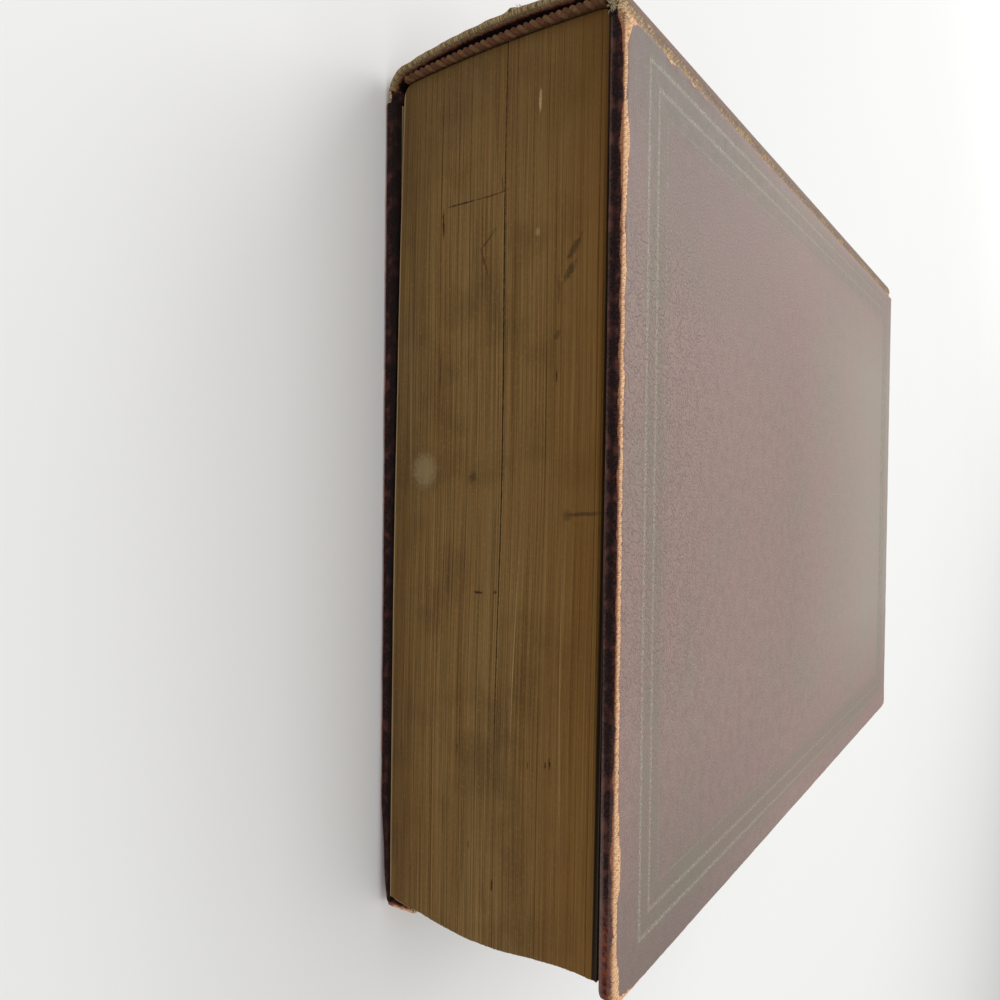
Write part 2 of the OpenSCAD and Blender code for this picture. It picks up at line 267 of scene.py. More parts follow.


# Leather-grained book cloth, embossed and varnished: a fine pebble grain with a soft gloss,
# faded to mauve and grey on the faces, which are painted lighter still for a sheen, dark oxblood
# where it was kept from the light, with painted shade over the edges and gaps, and rubbed through
# to a tan cloth along the edges. Its mesh gives "flat", the place on the unrolled leather in
# millimetres, "worn", how far it is rubbed, and a third value, how dark it has stayed together
# with the painted shade
def leather_material(name, colours, cloth_dark, cloth_light, torn, thread_gap, framed=False):
    material, tree = new_tree(name)
    weave_scale = math.pi / 10 / thread_gap
    flat = add(tree, "Attribute", attribute_name="flat").outputs["Vector"]
    worn = add(tree, "Attribute", attribute_name="worn").outputs["Fac"]
    kept = add(tree, "Attribute", attribute_name="kept").outputs["Fac"]

    # Patches 40 mm across, mottling of 3 mm and stippling of half a millimetre
    patches = add(tree, "TexNoise", {"Vector": flat, "Scale": 0.025, "Detail": 3.0, "Roughness": 0.6})
    mottle = add(tree, "TexNoise", {"Vector": flat, "Scale": 0.3, "Detail": 2.0, "Roughness": 0.6})
    stipple = add(tree, "TexNoise", {"Vector": flat, "Scale": 1.9, "Detail": 2.0, "Roughness": 0.7})
    paint = layered(
        tree, colours.leather,
        (patches, 0.42, 0.66, 0.5, colours.leather_dull),
        (mottle, 0.6, 0.34, 0.2, srgb("#5E4640")),
        (stipple, 0.46, 0.3, 0.4, srgb("#665049")),
        (stipple, 0.52, 0.74, 0.5, srgb("#B8ACA4")),
    )
    # The dark leather of the edges, nearly black in places with painted shade and scuffed to red-brown in others. Past
    # 1 the value paints it black: painted shade in gaps and hollows
    edge = layered(
        tree, srgb("#120404"),
        (stipple, 0.46, 0.66, 1.0, colours.leather_dark),
        (mottle, 0.5, 0.66, 0.7, srgb("#64382E")),
        (kept, 1.0, 1.5, 0.8, srgb("#0A0202")),
    )
    paint = add(tree, "Mix", {0: kept, 6: paint, 7: edge}, data_type="RGBA")
    on_face = add(tree, "MapRange", {"Value": kept, "From Min": 0.3, "From Max": 0.6, "To Min": 1.0, "To Max": 0.0})

    lines = 0.0
    if framed:
        place = add(tree, "SeparateXYZ", {0: flat})
        off_middle = add(tree, "Math", {0: place.outputs[0]}, operation="ABSOLUTE")
        # Painted shade: both corners of the tail are darker than the middle, the spine's more so
        spineward = add(tree, "Math", {0: place.outputs[0], 1: 8.0}, operation="SUBTRACT")
        spineward = add(tree, "Math", {0: spineward}, operation="ABSOLUTE")
        corners = add(tree, "MapRange", {"Value": spineward, "From Min": 45.0, "From Max": 100.0, "To Max": 0.6})
        towards_tail = add(tree, "MapRange", {"Value": place.outputs[1], "From Min": -20.0, "From Max": -110.0})
        corner_shade = add(tree, "Math", {0: corners, 1: towards_tail}, operation="MULTIPLY")
        corner_shade = add(tree, "Math", {0: corner_shade, 1: on_face}, operation="MULTIPLY")
        paint = add(tree, "Mix", {0: corner_shade, 6: paint, 7: srgb("#675E57")}, data_type="RGBA")
        # Painted sheen: the middle of the face turns lighter and greyer towards the head
        middle = add(tree, "MapRange", {"Value": off_middle, "From Min": 90.0, "From Max": 50.0})
        headward = add(tree, "MapRange", {
            "Value": place.outputs[1], "From Min": -20.0, "From Max": 90.0, "To Max": 0.32,
        })
        head_sheen = add(tree, "Math", {0: middle, 1: headward}, operation="MULTIPLY")
        paint = add(tree, "Mix", {0: head_sheen, 6: paint, 7: srgb("#B8B8A5")}, data_type="RGBA")
        lines, band = gilt_frame(tree, place.outputs[0], place.outputs[1])
        rub = add(tree, "MapRange", {"Value": mottle, "From Min": 0.35, "From Max": 0.65, "To Min": 0.1, "To Max": 0.5})
        rubbed = add(tree, "Math", {0: band, 1: rub}, operation="MULTIPLY")
        paint = add(tree, "Mix", {0: rubbed, 6: paint, 7: srgb("#787A68")}, data_type="RGBA")
        # Only dots of the gilt are left, on the tops of the grain
        dots = add(tree, "MapRange", {
            "Value": stipple, "From Min": 0.5, "From Max": 0.64, "To Min": 0.08, "To Max": 0.55,
        })
        # More is rubbed off towards the head
        left = add(tree, "MapRange", {
            "Value": place.outputs[1], "From Min": -90.0, "From Max": 40.0, "To Min": 1.0, "To Max": 0.4,
        })
        gilded = add(tree, "Math", {0: lines, 1: dots}, operation="MULTIPLY")
        gilded = add(tree, "Math", {0: gilded, 1: left}, operation="MULTIPLY")
        paint = add(tree, "Mix", {0: gilded, 6: paint, 7: colours.gilt}, data_type="RGBA")

    # White specks a quarter of a millimetre across, about 20 mm apart
    cells = add(tree, "TexVoronoi", {"Vector": flat, "Scale": 0.05})
    speck = add(tree, "MapRange", {
        "Value": cells.outputs["Distance"], "From Min": 0.009, "From Max": 0.016, "To Min": 0.7, "To Max": 0.0,
    })
    speck = add(tree, "Math", {0: speck, 1: on_face}, operation="MULTIPLY")
    paint = add(tree, "Mix", {0: speck, 6: paint, 7: srgb("#D8D2C4")}, data_type="RGBA")

    # Wear: the leather reddens, then gives way to cloth, woven with a gap between its threads. A wave
    # repeats every pi / 10 of its scaled length
    ragged = add(tree, "TexNoise", {"Vector": flat, "Scale": 0.8, "Detail": 3.0, "Roughness": 0.8})
    uneven = add(tree, "MapRange", {"Value": ragged, "From Min": 0.3, "From Max": 0.7, "To Min": 0.3, "To Max": 1.7})
    wear = add(tree, "Math", {0: worn, 1: uneven}, operation="MULTIPLY")
    bare = add(tree, "MapRange", {"Value": wear, "From Min": 0.44, "From Max": 0.54})
    bent = add(tree, "VectorMath", {0: mottle.outputs["Color"], 1: (1.6, 1.6, 0.0), 2: flat}, operation="MULTIPLY_ADD")
    rib = add(tree, "TexWave", {"Vector": bent, "Scale": weave_scale}, wave_type="BANDS", bands_direction="X")
    twill = add(
        tree, "TexWave", {"Vector": bent, "Scale": 0.7 * weave_scale}, wave_type="BANDS", bands_direction="DIAGONAL",
    )
    weave = add(tree, "Math", {0: rib.outputs["Fac"], 1: twill.outputs["Fac"]}, operation="MULTIPLY")
    lint = add(tree, "TexNoise", {"Vector": flat, "Scale": 1.5, "Detail": 2.0, "Roughness": 0.8})
    linty = add(tree, "Math", {0: lint, 1: 2.4, 2: weave}, operation="MULTIPLY_ADD")
    # Towards the dark wall the bared cloth turns brown, a stain with painted shade in it
    cloth = layered(
        tree, srgb(cloth_dark), (linty, 0.85, 1.8, 1.0, cloth_light), (kept, 0.24, 0.7, 0.8, srgb("#7E4A30")),
    )
    fringe = add(tree, "Mix", {0: kept, 6: torn, 7: srgb("#8A4024")}, data_type="RGBA")
    paint = layered(tree, paint, (wear, 0.22, 0.42, 0.75, fringe))
    paint = add(tree, "Mix", {0: bare, 6: paint, 7: cloth}, data_type="RGBA")

    # Pebbles of half a millimetre and winding creases 1.5 mm apart, with heights in millimetres
    pebble = add(tree, "TexVoronoi", {"Vector": flat, "Scale": 1.9})
    winding = add(tree, "TexNoise", {"Vector": bent, "Scale": 0.42, "Detail": 1.0}, noise_dimensions="2D")
    off_line = add(tree, "Math", {0: winding, 1: 0.5}, operation="SUBTRACT")
    off_line = add(tree, "Math", {0: off_line}, operation="ABSOLUTE")
    crinkled = 0.03
    if framed:
        # The face is creased only along the middle of the tail
        wide = add(tree, "MapRange", {"Value": off_middle, "From Min": 66.0, "From Max": 40.0})
        deep = add(tree, "MapRange", {"Value": place.outputs[1], "From Min": -70.0, "From Max": -110.0, "To Max": 0.2})
        crinkled = add(tree, "Math", {0: wide, 1: deep}, operation="MULTIPLY")
    crease = add(tree, "MapRange", {"Value": off_line, "From Min": 0.0, "From Max": 0.07, "To Min": 1.0, "To Max": 0.0})
    depth = add(tree, "Math", {0: crease, 1: crinkled}, operation="MULTIPLY")
    grain = add(tree, "Math", {0: pebble.outputs["Distance"], 1: 0.075}, operation="MULTIPLY")
    grain = add(tree, "Math", {0: grain, 1: depth}, operation="SUBTRACT")
    grain = add(tree, "Math", {0: lines, 1: -0.05, 2: grain}, operation="MULTIPLY_ADD")
    relief = add(tree, "Mix", {0: bare, 2: grain, 3: add(tree, "Math", {0: weave, 1: 0.1}, operation="MULTIPLY")})
    bump = add(tree, "Bump", {"Height": relief, "Distance": MM, "Strength": 0.8})
    gloss = add(tree, "MapRange", {"Value": mottle, "From Min": 0.3, "From Max": 0.7, "To Min": 0.5, "To Max": 0.64})
    dry = add(tree, "Math", {0: bare, 1: kept}, operation="MAXIMUM")
    rough = add(tree, "Mix", {0: dry, 2: gloss, 3: 0.9})
    shader = add(tree, "BsdfPrincipled", {
        "Base Color": paint, "Roughness": rough, "Normal": bump, "IOR": 1.5, "Specular IOR Level": 0.25,
    })
    add(tree, "OutputMaterial", {"Surface": shader})
    return material


# Marks on the tail ends of the pages: place along X and Z, half sizes along X and Z, lean in
# degrees from X towards Z, colour and strength
PAGE_MARKS = (
    # The first is a black line in the gap where the pages have parted: painted shade
    (-20.0, 34.9, 72.0, 0.2, 0.0, "#140A05", 0.85),
    (-4.2, 13.1, 4.0, 3.4, 0.0, "#A8946C", 0.42),
    (-83.2, 43.6, 2.4, 0.35, 0.0, "#B8A074", 0.7),
    (-55.1, 43.5, 0.9, 0.6, 0.0, "#A88F62", 0.45),
    (-50.3, 52.6, 3.0, 0.75, -35.0, "#33200F", 0.6),
    (-45.6, 51.5, 2.2, 0.8, -36.0, "#33200F", 0.65),
    (-42.2, 48.9, 3.0, 0.35, 0.0, "#33200F", 0.4),
    (-32.4, 48.5, 1.2, 0.7, -30.0, "#3A2410", 0.5),
    (-23.8, 48.5, 1.2, 0.2, 0.0, "#20120A", 0.85),
    (5.3, 51.6, 1.2, 1.0, 0.0, "#33200F", 0.4),
    (4.9, 55.6, 0.45, 4.6, 4.0, "#33200F", 0.6),
    (-2.7, 26.9, 1.2, 1.0, 0.0, "#3A2610", 0.55),
    (23.2, 29.3, 0.3, 1.2, 0.0, "#1C1008", 0.85),
    (22.8, 34.0, 0.4, 0.45, 0.0, "#1C1008", 0.75),
    (58.3, 48.1, 0.7, 0.2, 0.0, "#1C1008", 0.8),
    (57.7, 49.1, 1.1, 0.25, 0.0, "#1C1008", 0.85),
    (59.3, 43.6, 0.7, 0.2, 0.0, "#1C1008", 0.5),
    (80.5, 28.0, 0.9, 0.2, 0.0, "#1C1008", 0.75),
    (87.8, 34.6, 1.1, 0.25, 0.0, "#1C1008", 0.85),
    (58.9, 24.5, 0.7, 0.2, 0.0, "#1C1008", 0.55),
    (-65.2, 23.4, 0.22, 4.4, 1.0, "#1C1008", 0.8),
    (-65.4, 31.2, 0.2, 4.2, 4.0, "#1C1008", 0.65),
    (-67.4, 34.2, 1.9, 0.2, 6.0, "#1C1008", 0.6),
    (-61.4, 17.6, 3.3, 0.26, 2.0, "#120A05", 0.9),
    (-55.6, 30.4, 2.8, 0.2, -44.0, "#20140A", 0.6),
    (-50.6, 29.5, 3.3, 0.2, 18.0, "#20140A", 0.6),
    (-27.0, 17.3, 4.4, 0.16, -1.0, "#20140A", 0.7),
    (36.0, 39.4, 24.0, 0.14, -1.0, "#A8905E", 0.6),
    (44.0, 51.2, 32.0, 0.16, 1.0, "#A08450", 0.5),
    (-24.0, 8.7, 30.0, 0.3, 1.0, "#A08A5C", 0.35),
)


# Toned paper, cut, handled and dusty: matt, with thin dark and pale lines between the leaves
# and soiling that runs along them
def page_edge_material(name, colours):
    material, tree = new_tree(name)
    leaf = add(tree, "Attribute", attribute_name="leaf").outputs["Vector"]
    place = add(tree, "SeparateXYZ", {0: leaf})
    x, z = place.outputs[0], place.outputs[1]

    # Streaks along the leaves: bundles of 5 mm, threes of leaves at 0.6 mm and single ones at 0.25 mm
    bundle, leaves, single = (
        add(tree, "TexNoise", {
            "Vector": add(tree, "VectorMath", {0: leaf, 1: (along, across, 1.0)}, operation="MULTIPLY"),
            "Scale": 1.0, "Detail": detail, "Roughness": 0.6,
        }, noise_dimensions="2D")
        for along, across, detail in ((0.006, 0.2, 2.0), (0.012, 3.0, 2.0), (0.03, 5.2, 1.0))
    )
    soil = add(
        tree, "TexNoise", {"Vector": leaf, "Scale": 0.04, "Detail": 3.0, "Roughness": 0.65}, noise_dimensions="2D",
    )
    grit = add(tree, "TexNoise", {"Vector": leaf, "Scale": 1.1, "Detail": 2.0, "Roughness": 0.7}, noise_dimensions="2D")

    paint = layered(
        tree, srgb("#7A5A2E"),
        (bundle, 0.35, 0.65, 1.0, colours.pages),
        (leaves, 0.5, 0.32, 0.6, srgb("#523814")),
        (leaves, 0.54, 0.68, 0.5, colours.pages_light),
        (single, 0.42, 0.27, 0.6, colours.pages_dark),
        (soil, 0.48, 0.72, 0.35, colours.pages_dark),
        (grit, 0.55, 0.8, 0.35, colours.pages_light),
        # The leaves nearer the front cover are browner, and the lowest ones greyer
        (z, 36.0, 61.0, 0.6, srgb("#70480E")),
        (z, 16.0, 5.0, 0.35, srgb("#503A1C")),
        # Darker beside the endband, and black where the topmost leaves stand back: painted shade under the front
        # cover's edge
        (x, -55.0, -97.0, 0.35, srgb("#4E3412")),
        (z, 59.75, 59.95, 0.92, srgb("#160A04")),
        # The leaf next to the back cover is clean
        (z, 4.95, 4.75, 0.85, srgb("#B09468")),
    )

    for mark_x, mark_z, half_x, half_z, lean, tint, strength in PAGE_MARKS:
        turn = math.radians(lean)
        dx = add(tree, "Math", {0: x, 1: mark_x}, operation="SUBTRACT")
        dz = add(tree, "Math", {0: z, 1: mark_z}, operation="SUBTRACT")
        along = add(tree, "Math", {
            0: dx, 1: math.cos(turn) / half_x,
            2: add(tree, "Math", {0: dz, 1: math.sin(turn) / half_x}, operation="MULTIPLY"),
        }, operation="MULTIPLY_ADD")
        across = add(tree, "Math", {
            0: dx, 1: -math.sin(turn) / half_z,
            2: add(tree, "Math", {0: dz, 1: math.cos(turn) / half_z}, operation="MULTIPLY"),
        }, operation="MULTIPLY_ADD")
        span = add(tree, "VectorMath", {0: add(tree, "CombineXYZ", {0: along, 1: across})}, operation="LENGTH")
        torn = add(tree, "Math", {0: grit, 1: 1.2, 2: span.outputs["Value"]}, operation="MULTIPLY_ADD")
        paint = layered(tree, paint, (torn, 1.85, 1.2, strength, srgb(tint)))

    fuzz = add(tree, "Math", {0: grit, 1: 0.06}, operation="MULTIPLY")
    ridges = add(tree, "Math", {0: leaves, 1: 0.25, 2: fuzz}, operation="MULTIPLY_ADD")
    bump = add(tree, "Bump", {"Height": ridges, "Distance": MM, "Strength": 0.7})
    shader = add(tree, "BsdfPrincipled", {
        "Base Color": paint, "Normal": bump, "Roughness": 0.85, "Specular IOR Level": 0.25,
    })
    add(tree, "OutputMaterial", {"Surface": shader})
    return material


# Machine-made wove paper, aged: matt, foxed with small brown spots, and browned round its
# edges by the turned-in covering that it has lain against
def endpaper_material(name, colours, tail_shade=0.0):
    material, tree = new_tree(name)
    scaled = place_mm(tree)
    parts = add(tree, "SeparateXYZ", {0: scaled})
    cloud = add(tree, "TexNoise", {"Vector": scaled, "Scale": 0.02, "Detail": 5.0, "Roughness": 0.6})
    fibre = add(tree, "TexNoise", {"Vector": scaled, "Scale": 2.2, "Detail": 3.0})
    paint = layered(tree, colours.endpaper, (cloud, 0.35, 0.7, 0.6, srgb("#A5855A")))
    # The browned border, as wide as the turn-ins
    end_y = add(tree, "Math", {0: parts.outputs[1]}, operation="ABSOLUTE")
    side_x, side_y = FORE_X - TURN_IN_W, HEAD_Y - TURN_IN_W
    side = add(tree, "MapRange", {"Value": parts.outputs[0], "From Min": side_x - 3, "From Max": side_x + 1})
    end = add(tree, "MapRange", {"Value": end_y, "From Min": side_y - 3, "From Max": side_y + 1})
    border = add(tree, "Math", {0: side, 1: end}, operation="MAXIMUM")
    deep = add(tree, "MapRange", {"Value": cloud, "From Min": 0.3, "From Max": 0.7, "To Min": 0.25, "To Max": 0.6})
    stain = add(tree, "Math", {0: border, 1: deep}, operation="MULTIPLY")
    paint = add(tree, "Mix", {0: stain, 6: paint, 7: srgb("#7E5A36")}, data_type="RGBA")
    fox = add(tree, "TexVoronoi", {"Vector": scaled, "Scale": 0.07})
    paint = layered(
        tree, paint,
        (fox.outputs["Distance"], 0.12, 0.04, 0.5, srgb("#8A6236")),
        # Painted shade: the tail end of the uppermost leaf is painted black, where the cover's edge overhangs it
        (parts.outputs[1], TAIL_Y + 2.0, TAIL_Y + 1.2, tail_shade, srgb("#1A0E08")),
    )
    bump = add(tree, "Bump", {"Height": fibre, "Distance": 0.03 * MM, "Strength": 0.6})
    shader = add(tree, "BsdfPrincipled", {
        "Base Color": paint, "Normal": bump, "Roughness": 0.8, "Specular IOR Level": 0.3,
    })
    add(tree, "OutputMaterial", {"Surface": shader})
    return material


# Plain-woven or pressed sheet goods inside the binding: linen tape, open mull, brown paper and
# grey-brown pasteboard differ in colour, in the distance between their threads and in relief
def sheet_goods_material(name, first, second, pitch, relief):
    material, tree = new_tree(name)
    scaled = place_mm(tree)
    cloud = add(tree, "TexNoise", {"Vector": scaled, "Scale": 0.15, "Detail": 5.0, "Roughness": 0.65})
    threads = {"Vector": scaled, "Scale": math.pi / 10 / pitch, "Distortion": 0.5, "Detail": 1.0}
    up = add(tree, "TexWave", threads, wave_type="BANDS", bands_direction="Z")
    along = add(tree, "TexWave", threads, wave_type="BANDS", bands_direction="Y")
    weave = add(tree, "Math", {0: up.outputs["Fac"], 1: along.outputs["Fac"]}, operation="MULTIPLY")
    tone = add(tree, "Math", {0: cloud, 1: weave}, operation="MULTIPLY")
    paint = add(tree, "Mix", {0: tone, 6: srgb(first), 7: srgb(second)}, data_type="RGBA")
    bump = add(tree, "Bump", {"Height": weave, "Distance": relief * MM, "Strength": 0.8})
    shader = add(tree, "BsdfPrincipled", {"Base Color": paint, "Normal": bump, "Roughness": 0.9})
    add(tree, "OutputMaterial", {"Surface": shader})
    return material


# Cotton thread, wound over a cord or frayed: matt, with fine strands that catch the light
def thread_material(name, first, second, shade):
    material, tree = new_tree(name)
    wrap = add(tree, "Attribute", attribute_name="wrap").outputs["Fac"]
    strand = add(tree, "Attribute", attribute_name="strand").outputs["Vector"]
    fuzz = add(tree, "TexNoise", {"Vector": strand, "Scale": 1.6, "Detail": 3.0, "Roughness": 0.7})
    fine = add(
        tree, "TexWave", {"Vector": strand, "Scale": 1.4, "Distortion": 1.0}, wave_type="BANDS", bands_direction="X",
    )
    paint = add(tree, "Mix", {0: wrap, 6: first, 7: second}, data_type="RGBA")
    paint = layered(tree, paint, (fuzz, 0.6, 0.35, shade, srgb("#3A2216")))
    fuzzy = add(tree, "Math", {0: fuzz, 1: 0.08}, operation="MULTIPLY")
    ridge = add(tree, "Math", {0: fine.outputs["Fac"], 1: 0.05, 2: fuzzy}, operation="MULTIPLY_ADD")
    bump = add(tree, "Bump", {"Height": ridge, "Distance": MM, "Strength": 0.8})
    shader = add(tree, "BsdfPrincipled", {
        "Base Color": paint, "Normal": bump, "Roughness": 0.9, "Specular IOR Level": 0.2,
    })
    add(tree, "OutputMaterial", {"Surface": shader})
    return material


# The boards and the spine's stiffener: two colours, distance between fibres and relief
PASTEBOARD = ("#6E5C44", "#9A8462", 1.1, 0.03)


def make_piece(name, points, faces, material, smooth_angle=40.0, **layers):
    """A mesh object from points in millimetres, with a named value at each point for the materials."""
    mesh = bpy.data.meshes.new(name)
    mesh.from_pydata((np.asarray(points, float) * MM).tolist(), [], faces)
    for layer, values in layers.items():
        values = np.asarray(values, np.float32)
        kind, key = ("FLOAT_VECTOR", "vector") if values.ndim == 2 else ("FLOAT", "value")
        mesh.attributes.new(layer, kind, "POINT").data.foreach_set(key, values.ravel())
    work = bmesh.new()
    work.from_mesh(mesh)
    bmesh.ops.recalc_face_normals(work, faces=work.faces)
    work.to_mesh(mesh)
    work.free()
    mesh.polygons.foreach_set("use_smooth", [True] * len(mesh.polygons))
    mesh.set_sharp_from_angle(angle=math.radians(smooth_angle))
    mesh.materials.append(material)
    piece = bpy.data.objects.new(name, mesh)
    bpy.context.scene.collection.objects.link(piece)
    return piece


def grid_faces(rows, columns, first=0, closed=False):
    """Quads over rows of points that follow each other; closed joins each row's ends."""
    faces = []
    for row in range(rows - 1):
        a, b = first + row * columns, first + (row + 1) * columns
        for i in range(columns if closed else columns - 1):
            j = (i + 1) % columns
            faces.append((a + i, a + j, b + j, b + i))
    return faces


def tube_faces(rows, columns, first=0):
    """Quads round closed rows of points that follow each other, with a face over each end."""
    last = first + (rows - 1) * columns
    ends = [tuple(range(first, first + columns)), tuple(range(last, last + columns))]
    return grid_faces(rows, columns, first, closed=True) + ends


def back_x(z, offset=0.0):
    """The rounded back of the pages, or a layer on it, at height z."""
    up = min(abs(z - MID_Z), BLOCK_HALF + offset)
    straight = BLOCK_HALF - BACK_R
    circle = (BACK_BOW**2 + straight**2) / (2 * BACK_BOW)
    lean = math.atan(straight / (circle - BACK_BOW))
    big = circle + BACK_R + offset
    if up <= big * math.sin(lean):
        return BACK_X + circle + BACK_R - math.sqrt(big**2 - up**2)
    small = BACK_R + offset
    return BACK_X + BACK_BOW + BACK_R - math.sqrt(max(small**2 - (up - straight) ** 2, 0.0))


def section_line(i):
    """Height of the line between two sections."""
    even = BLOCK_BOTTOM + 2 * BLOCK_HALF * i / SECTIONS
    fixed = i in (0, SECTIONS // 2, SECTIONS)
    return even + (0.0 if fixed else SECTION_SHIFT * math.sin(GOLDEN_TURN * i))


def leaf_rise(x, y):
    """How far the leaves climb in the middle of the tail, and how they wander."""
    return 0.75 * math.exp(-(((x + 5.0) / 45.0) ** 2)) + 0.3 * drift(x / 50, y / 50, 3.0)


def slump(u, t):
    """How far the lower leaves have slid towards the tail: u runs from the back to the fore-edge, t upwards."""
    return (0.6 + 0.2 * u + 3.6 * u * (1 - u)) * (1 - t) ** 1.3


def dress(node, material):
    """Gives a CAD piece its material."""
    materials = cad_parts[node].data.materials
    materials.clear()
    materials.append(material)


class BOOK_OT_leaves(bpy.types.Operator):
    """Build the page block with its sections, its leaf edges and the crack where it has parted"""

    bl_idname = "book.leaves"
    bl_label = "Page block"

    def execute(self, context):
        sizes, colours = context.scene.book_sizes, context.scene.book_colours
        pick = random.Random(11)
        levels, line_half, per_section = [], 0.1, 9
        for section in range(SECTIONS):
            low = section_line(section) + (line_half if section else 0.0)
            high = section_line(section + 1) - (line_half if section < SECTIONS - 1 else 0.0)
            step = (high - low) / (per_section - 1)
            for k in range(per_section):
                shift = pick.uniform(-0.3, 0.3) * step if 0 < k < per_section - 1 else 0.0
                levels.append((low + k * step + shift, section, 0.0))
            if section < SECTIONS - 1:
                deep = CRACK_DEPTH if section + 1 == CRACK_LINE else pick.uniform(0.02, 0.14)
                levels.append((section_line(section + 1), section, deep))
        section_out = [pick.uniform(-1, 1) for _ in range(SECTIONS)]

        tail = [(u, 0) for u in np.linspace(0, 1, 76)]
        fore = [(v, 1) for v in np.linspace(0, 1, 66)[1:]]
        head = [(1 - u, 2) for u in np.linspace(0, 1, 66)[1:]]
        columns = tail + fore + head
        height = 2 * BLOCK_HALF
        points, leaf = [], []
        for z, section, deep in levels:
            t = (z - BLOCK_BOTTOM) / height
            held = 1 - (2 * t - 1) ** 4
            x0 = back_x(z)
            x1 = FORE_MEAN_X + FORE_WAVE * math.sin(2 * math.pi * (t - WAVE_START))
            leaf_out = pick.uniform(-1, 1)
            for u, side in columns:
                x = x1 if side == 1 else x0 + (x1 - x0) * u
                drop = SAG * (x - BACK_X) / (FORE_X - BACK_X) + slump((x - BACK_X) / (FORE_X - BACK_X), t)
                tail_y, head_y = PAGES_TAIL_Y - drop, PAGES_HEAD_Y - drop
                if section == SECTIONS - 1 and side != 2:
                    # The last leaves stand back in the middle of the tail, in the cover's shadow
                    place = (x - BACK_X) / (FORE_X - BACK_X)
                    tail_y += 1.2 * max(4 * place * (1 - place), 0.0) ** 0.7 * ease(z, 59.6, 60.0)
                y = (tail_y, tail_y + (head_y - tail_y) * u, head_y)[side]
                run = (x, FORE_X + y - TAIL_Y, 2 * FORE_X + HEAD_Y - TAIL_Y - x)[side]
                fade = ease(x, x0 + 3, x0 + 14)
                # The open gap closes towards the fore-edge
                gap = deep * (1.0 - 0.7 * ease(run, 42, 80)) if deep == CRACK_DEPTH else deep
                out = fade * (
                    sizes.section_relief / MM * (0.7 * section_out[section] + 0.6 * drift(run / 38, section * 1.7))
                    + sizes.leaf_relief / MM * (leaf_out + 0.8 * drift(run / 14, z * 2.3))
                ) - gap
                lift = held * leaf_rise(x, y)
                shift = ((0, -out), (out, 0), (0, out))[side]
                points.append((x + shift[0], y + shift[1], z + lift))
                leaf.append((run, z, 0.0))
        faces = tube_faces(len(levels), len(columns))
        block = make_piece(
            "leaves", points, faces, page_edge_material("toned page edges", colours), leaf=leaf
        )
        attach(block, "block")
        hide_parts("text_block")
        return {"FINISHED"}


def stepped(low, high, fine, coarse, margin):
    """Places from low to high, close together within a margin of both ends."""
    near = np.arange(0, margin, fine)
    middle = np.linspace(low + margin, high - margin, max(2, round((high - low - 2 * margin) / coarse)))
    return np.concatenate([low + near, middle, (high - near)[::-1]])


def rounded_corner(x, y):
    """Pulls a point in one of the square fore-edge corners onto its round outline."""
    dx = x - (FORE_X - CORNER_R)
    dy = abs(y) - (HEAD_Y - CORNER_R)
    if dx <= 0 or dy <= 0:
        return x, y
    reach = max(dx, dy)
    turn = math.radians(45 * dx / dy if dy > dx else 90 - 45 * dy / dx)
    return (
        FORE_X - CORNER_R + reach * math.sin(turn),
        math.copysign(HEAD_Y - CORNER_R + reach * math.cos(turn), y),
    )


# Wider patches of bared cloth: place along the edge, half length and extra width
PATCHES = {
    "front": {
        "tail": (
            (-95.0, 4.2, 3.6), (-68.5, 4.5, 0.9), (-59.5, 4.0, 0.3), (-43.3, 3.0, 0.35), (-20.0, 3.0, 0.15),
            (72.0, 8.0, 0.7), (77.0, 3.5, 0.5), (100.0, 6.0, 1.1),
        ),
        "fore": ((-138.0, 6.0, 1.2), (138.0, 6.0, 1.2), (20.0, 10.0, 0.3)),
        "head": ((-101.0, 6.0, 1.3), (60.0, 8.0, 0.5), (101.0, 6.0, 1.2)),
        "spine": (
            (-137.0, 3.0, 1.6), (-127.0, 2.5, 0.5), (-118.5, 2.5, 1.3), (-106.0, 2.5, 1.0), (-99.0, 2.0, 0.7),
            (-84.0, 3.0, 0.5), (138.0, 6.0, 1.0),
        ),
    },
    "back": {
        "tail": ((-98.0, 6.0, 0.5), (-60.0, 4.0, 0.25)),
        "fore": ((-130.0, 9.0, 1.2), (137.0, 6.0, 1.1)),
        "head": ((-100.0, 6.0, 0.8), (100.0, 6.0, 1.2)),
        "spine": ((-138.0, 5.0, 0.6), (138.0, 5.0, 0.8)),
    },
}
# How worn each edge is as a whole
SIDE_WEAR = {
    "front": {"tail": 0.95, "fore": 0.5, "head": 0.8, "spine": 0.62},
    "back": {"tail": 0.32, "fore": 0.45, "head": 0.5, "spine": 0.3},
}


def extra_wear(cover, side, run):
    """What the wider patches add to the wear at a place along an edge."""
    return sum(more * math.exp(-(((run - place) / half) ** 2)) for place, half, more in PATCHES[cover][side])


def edge_wear(cover, side, run, path, width):
    """How worn a point is, from 0 to about 1; path is its distance over the edge, up onto the face."""
    extra = extra_wear(cover, side, run)
    seed = 7.0 * len(side) + (0 if cover == "front" else 50)
    strength = min(1.0, SIDE_WEAR[cover][side] + 0.6 * extra + 0.3 * drift(run / 11, seed, 2.0))
    if path > 0:
        reach = width * (0.8 + 0.7 * drift(run / 5, seed)) + extra
    else:
        reach = width * (1.0 + 1.0 * drift(run / 5, seed, 5.0)) + 0.4 * extra
    return strength * (1 - ease(abs(path) / max(reach, 0.15), 0.5, 1.4))


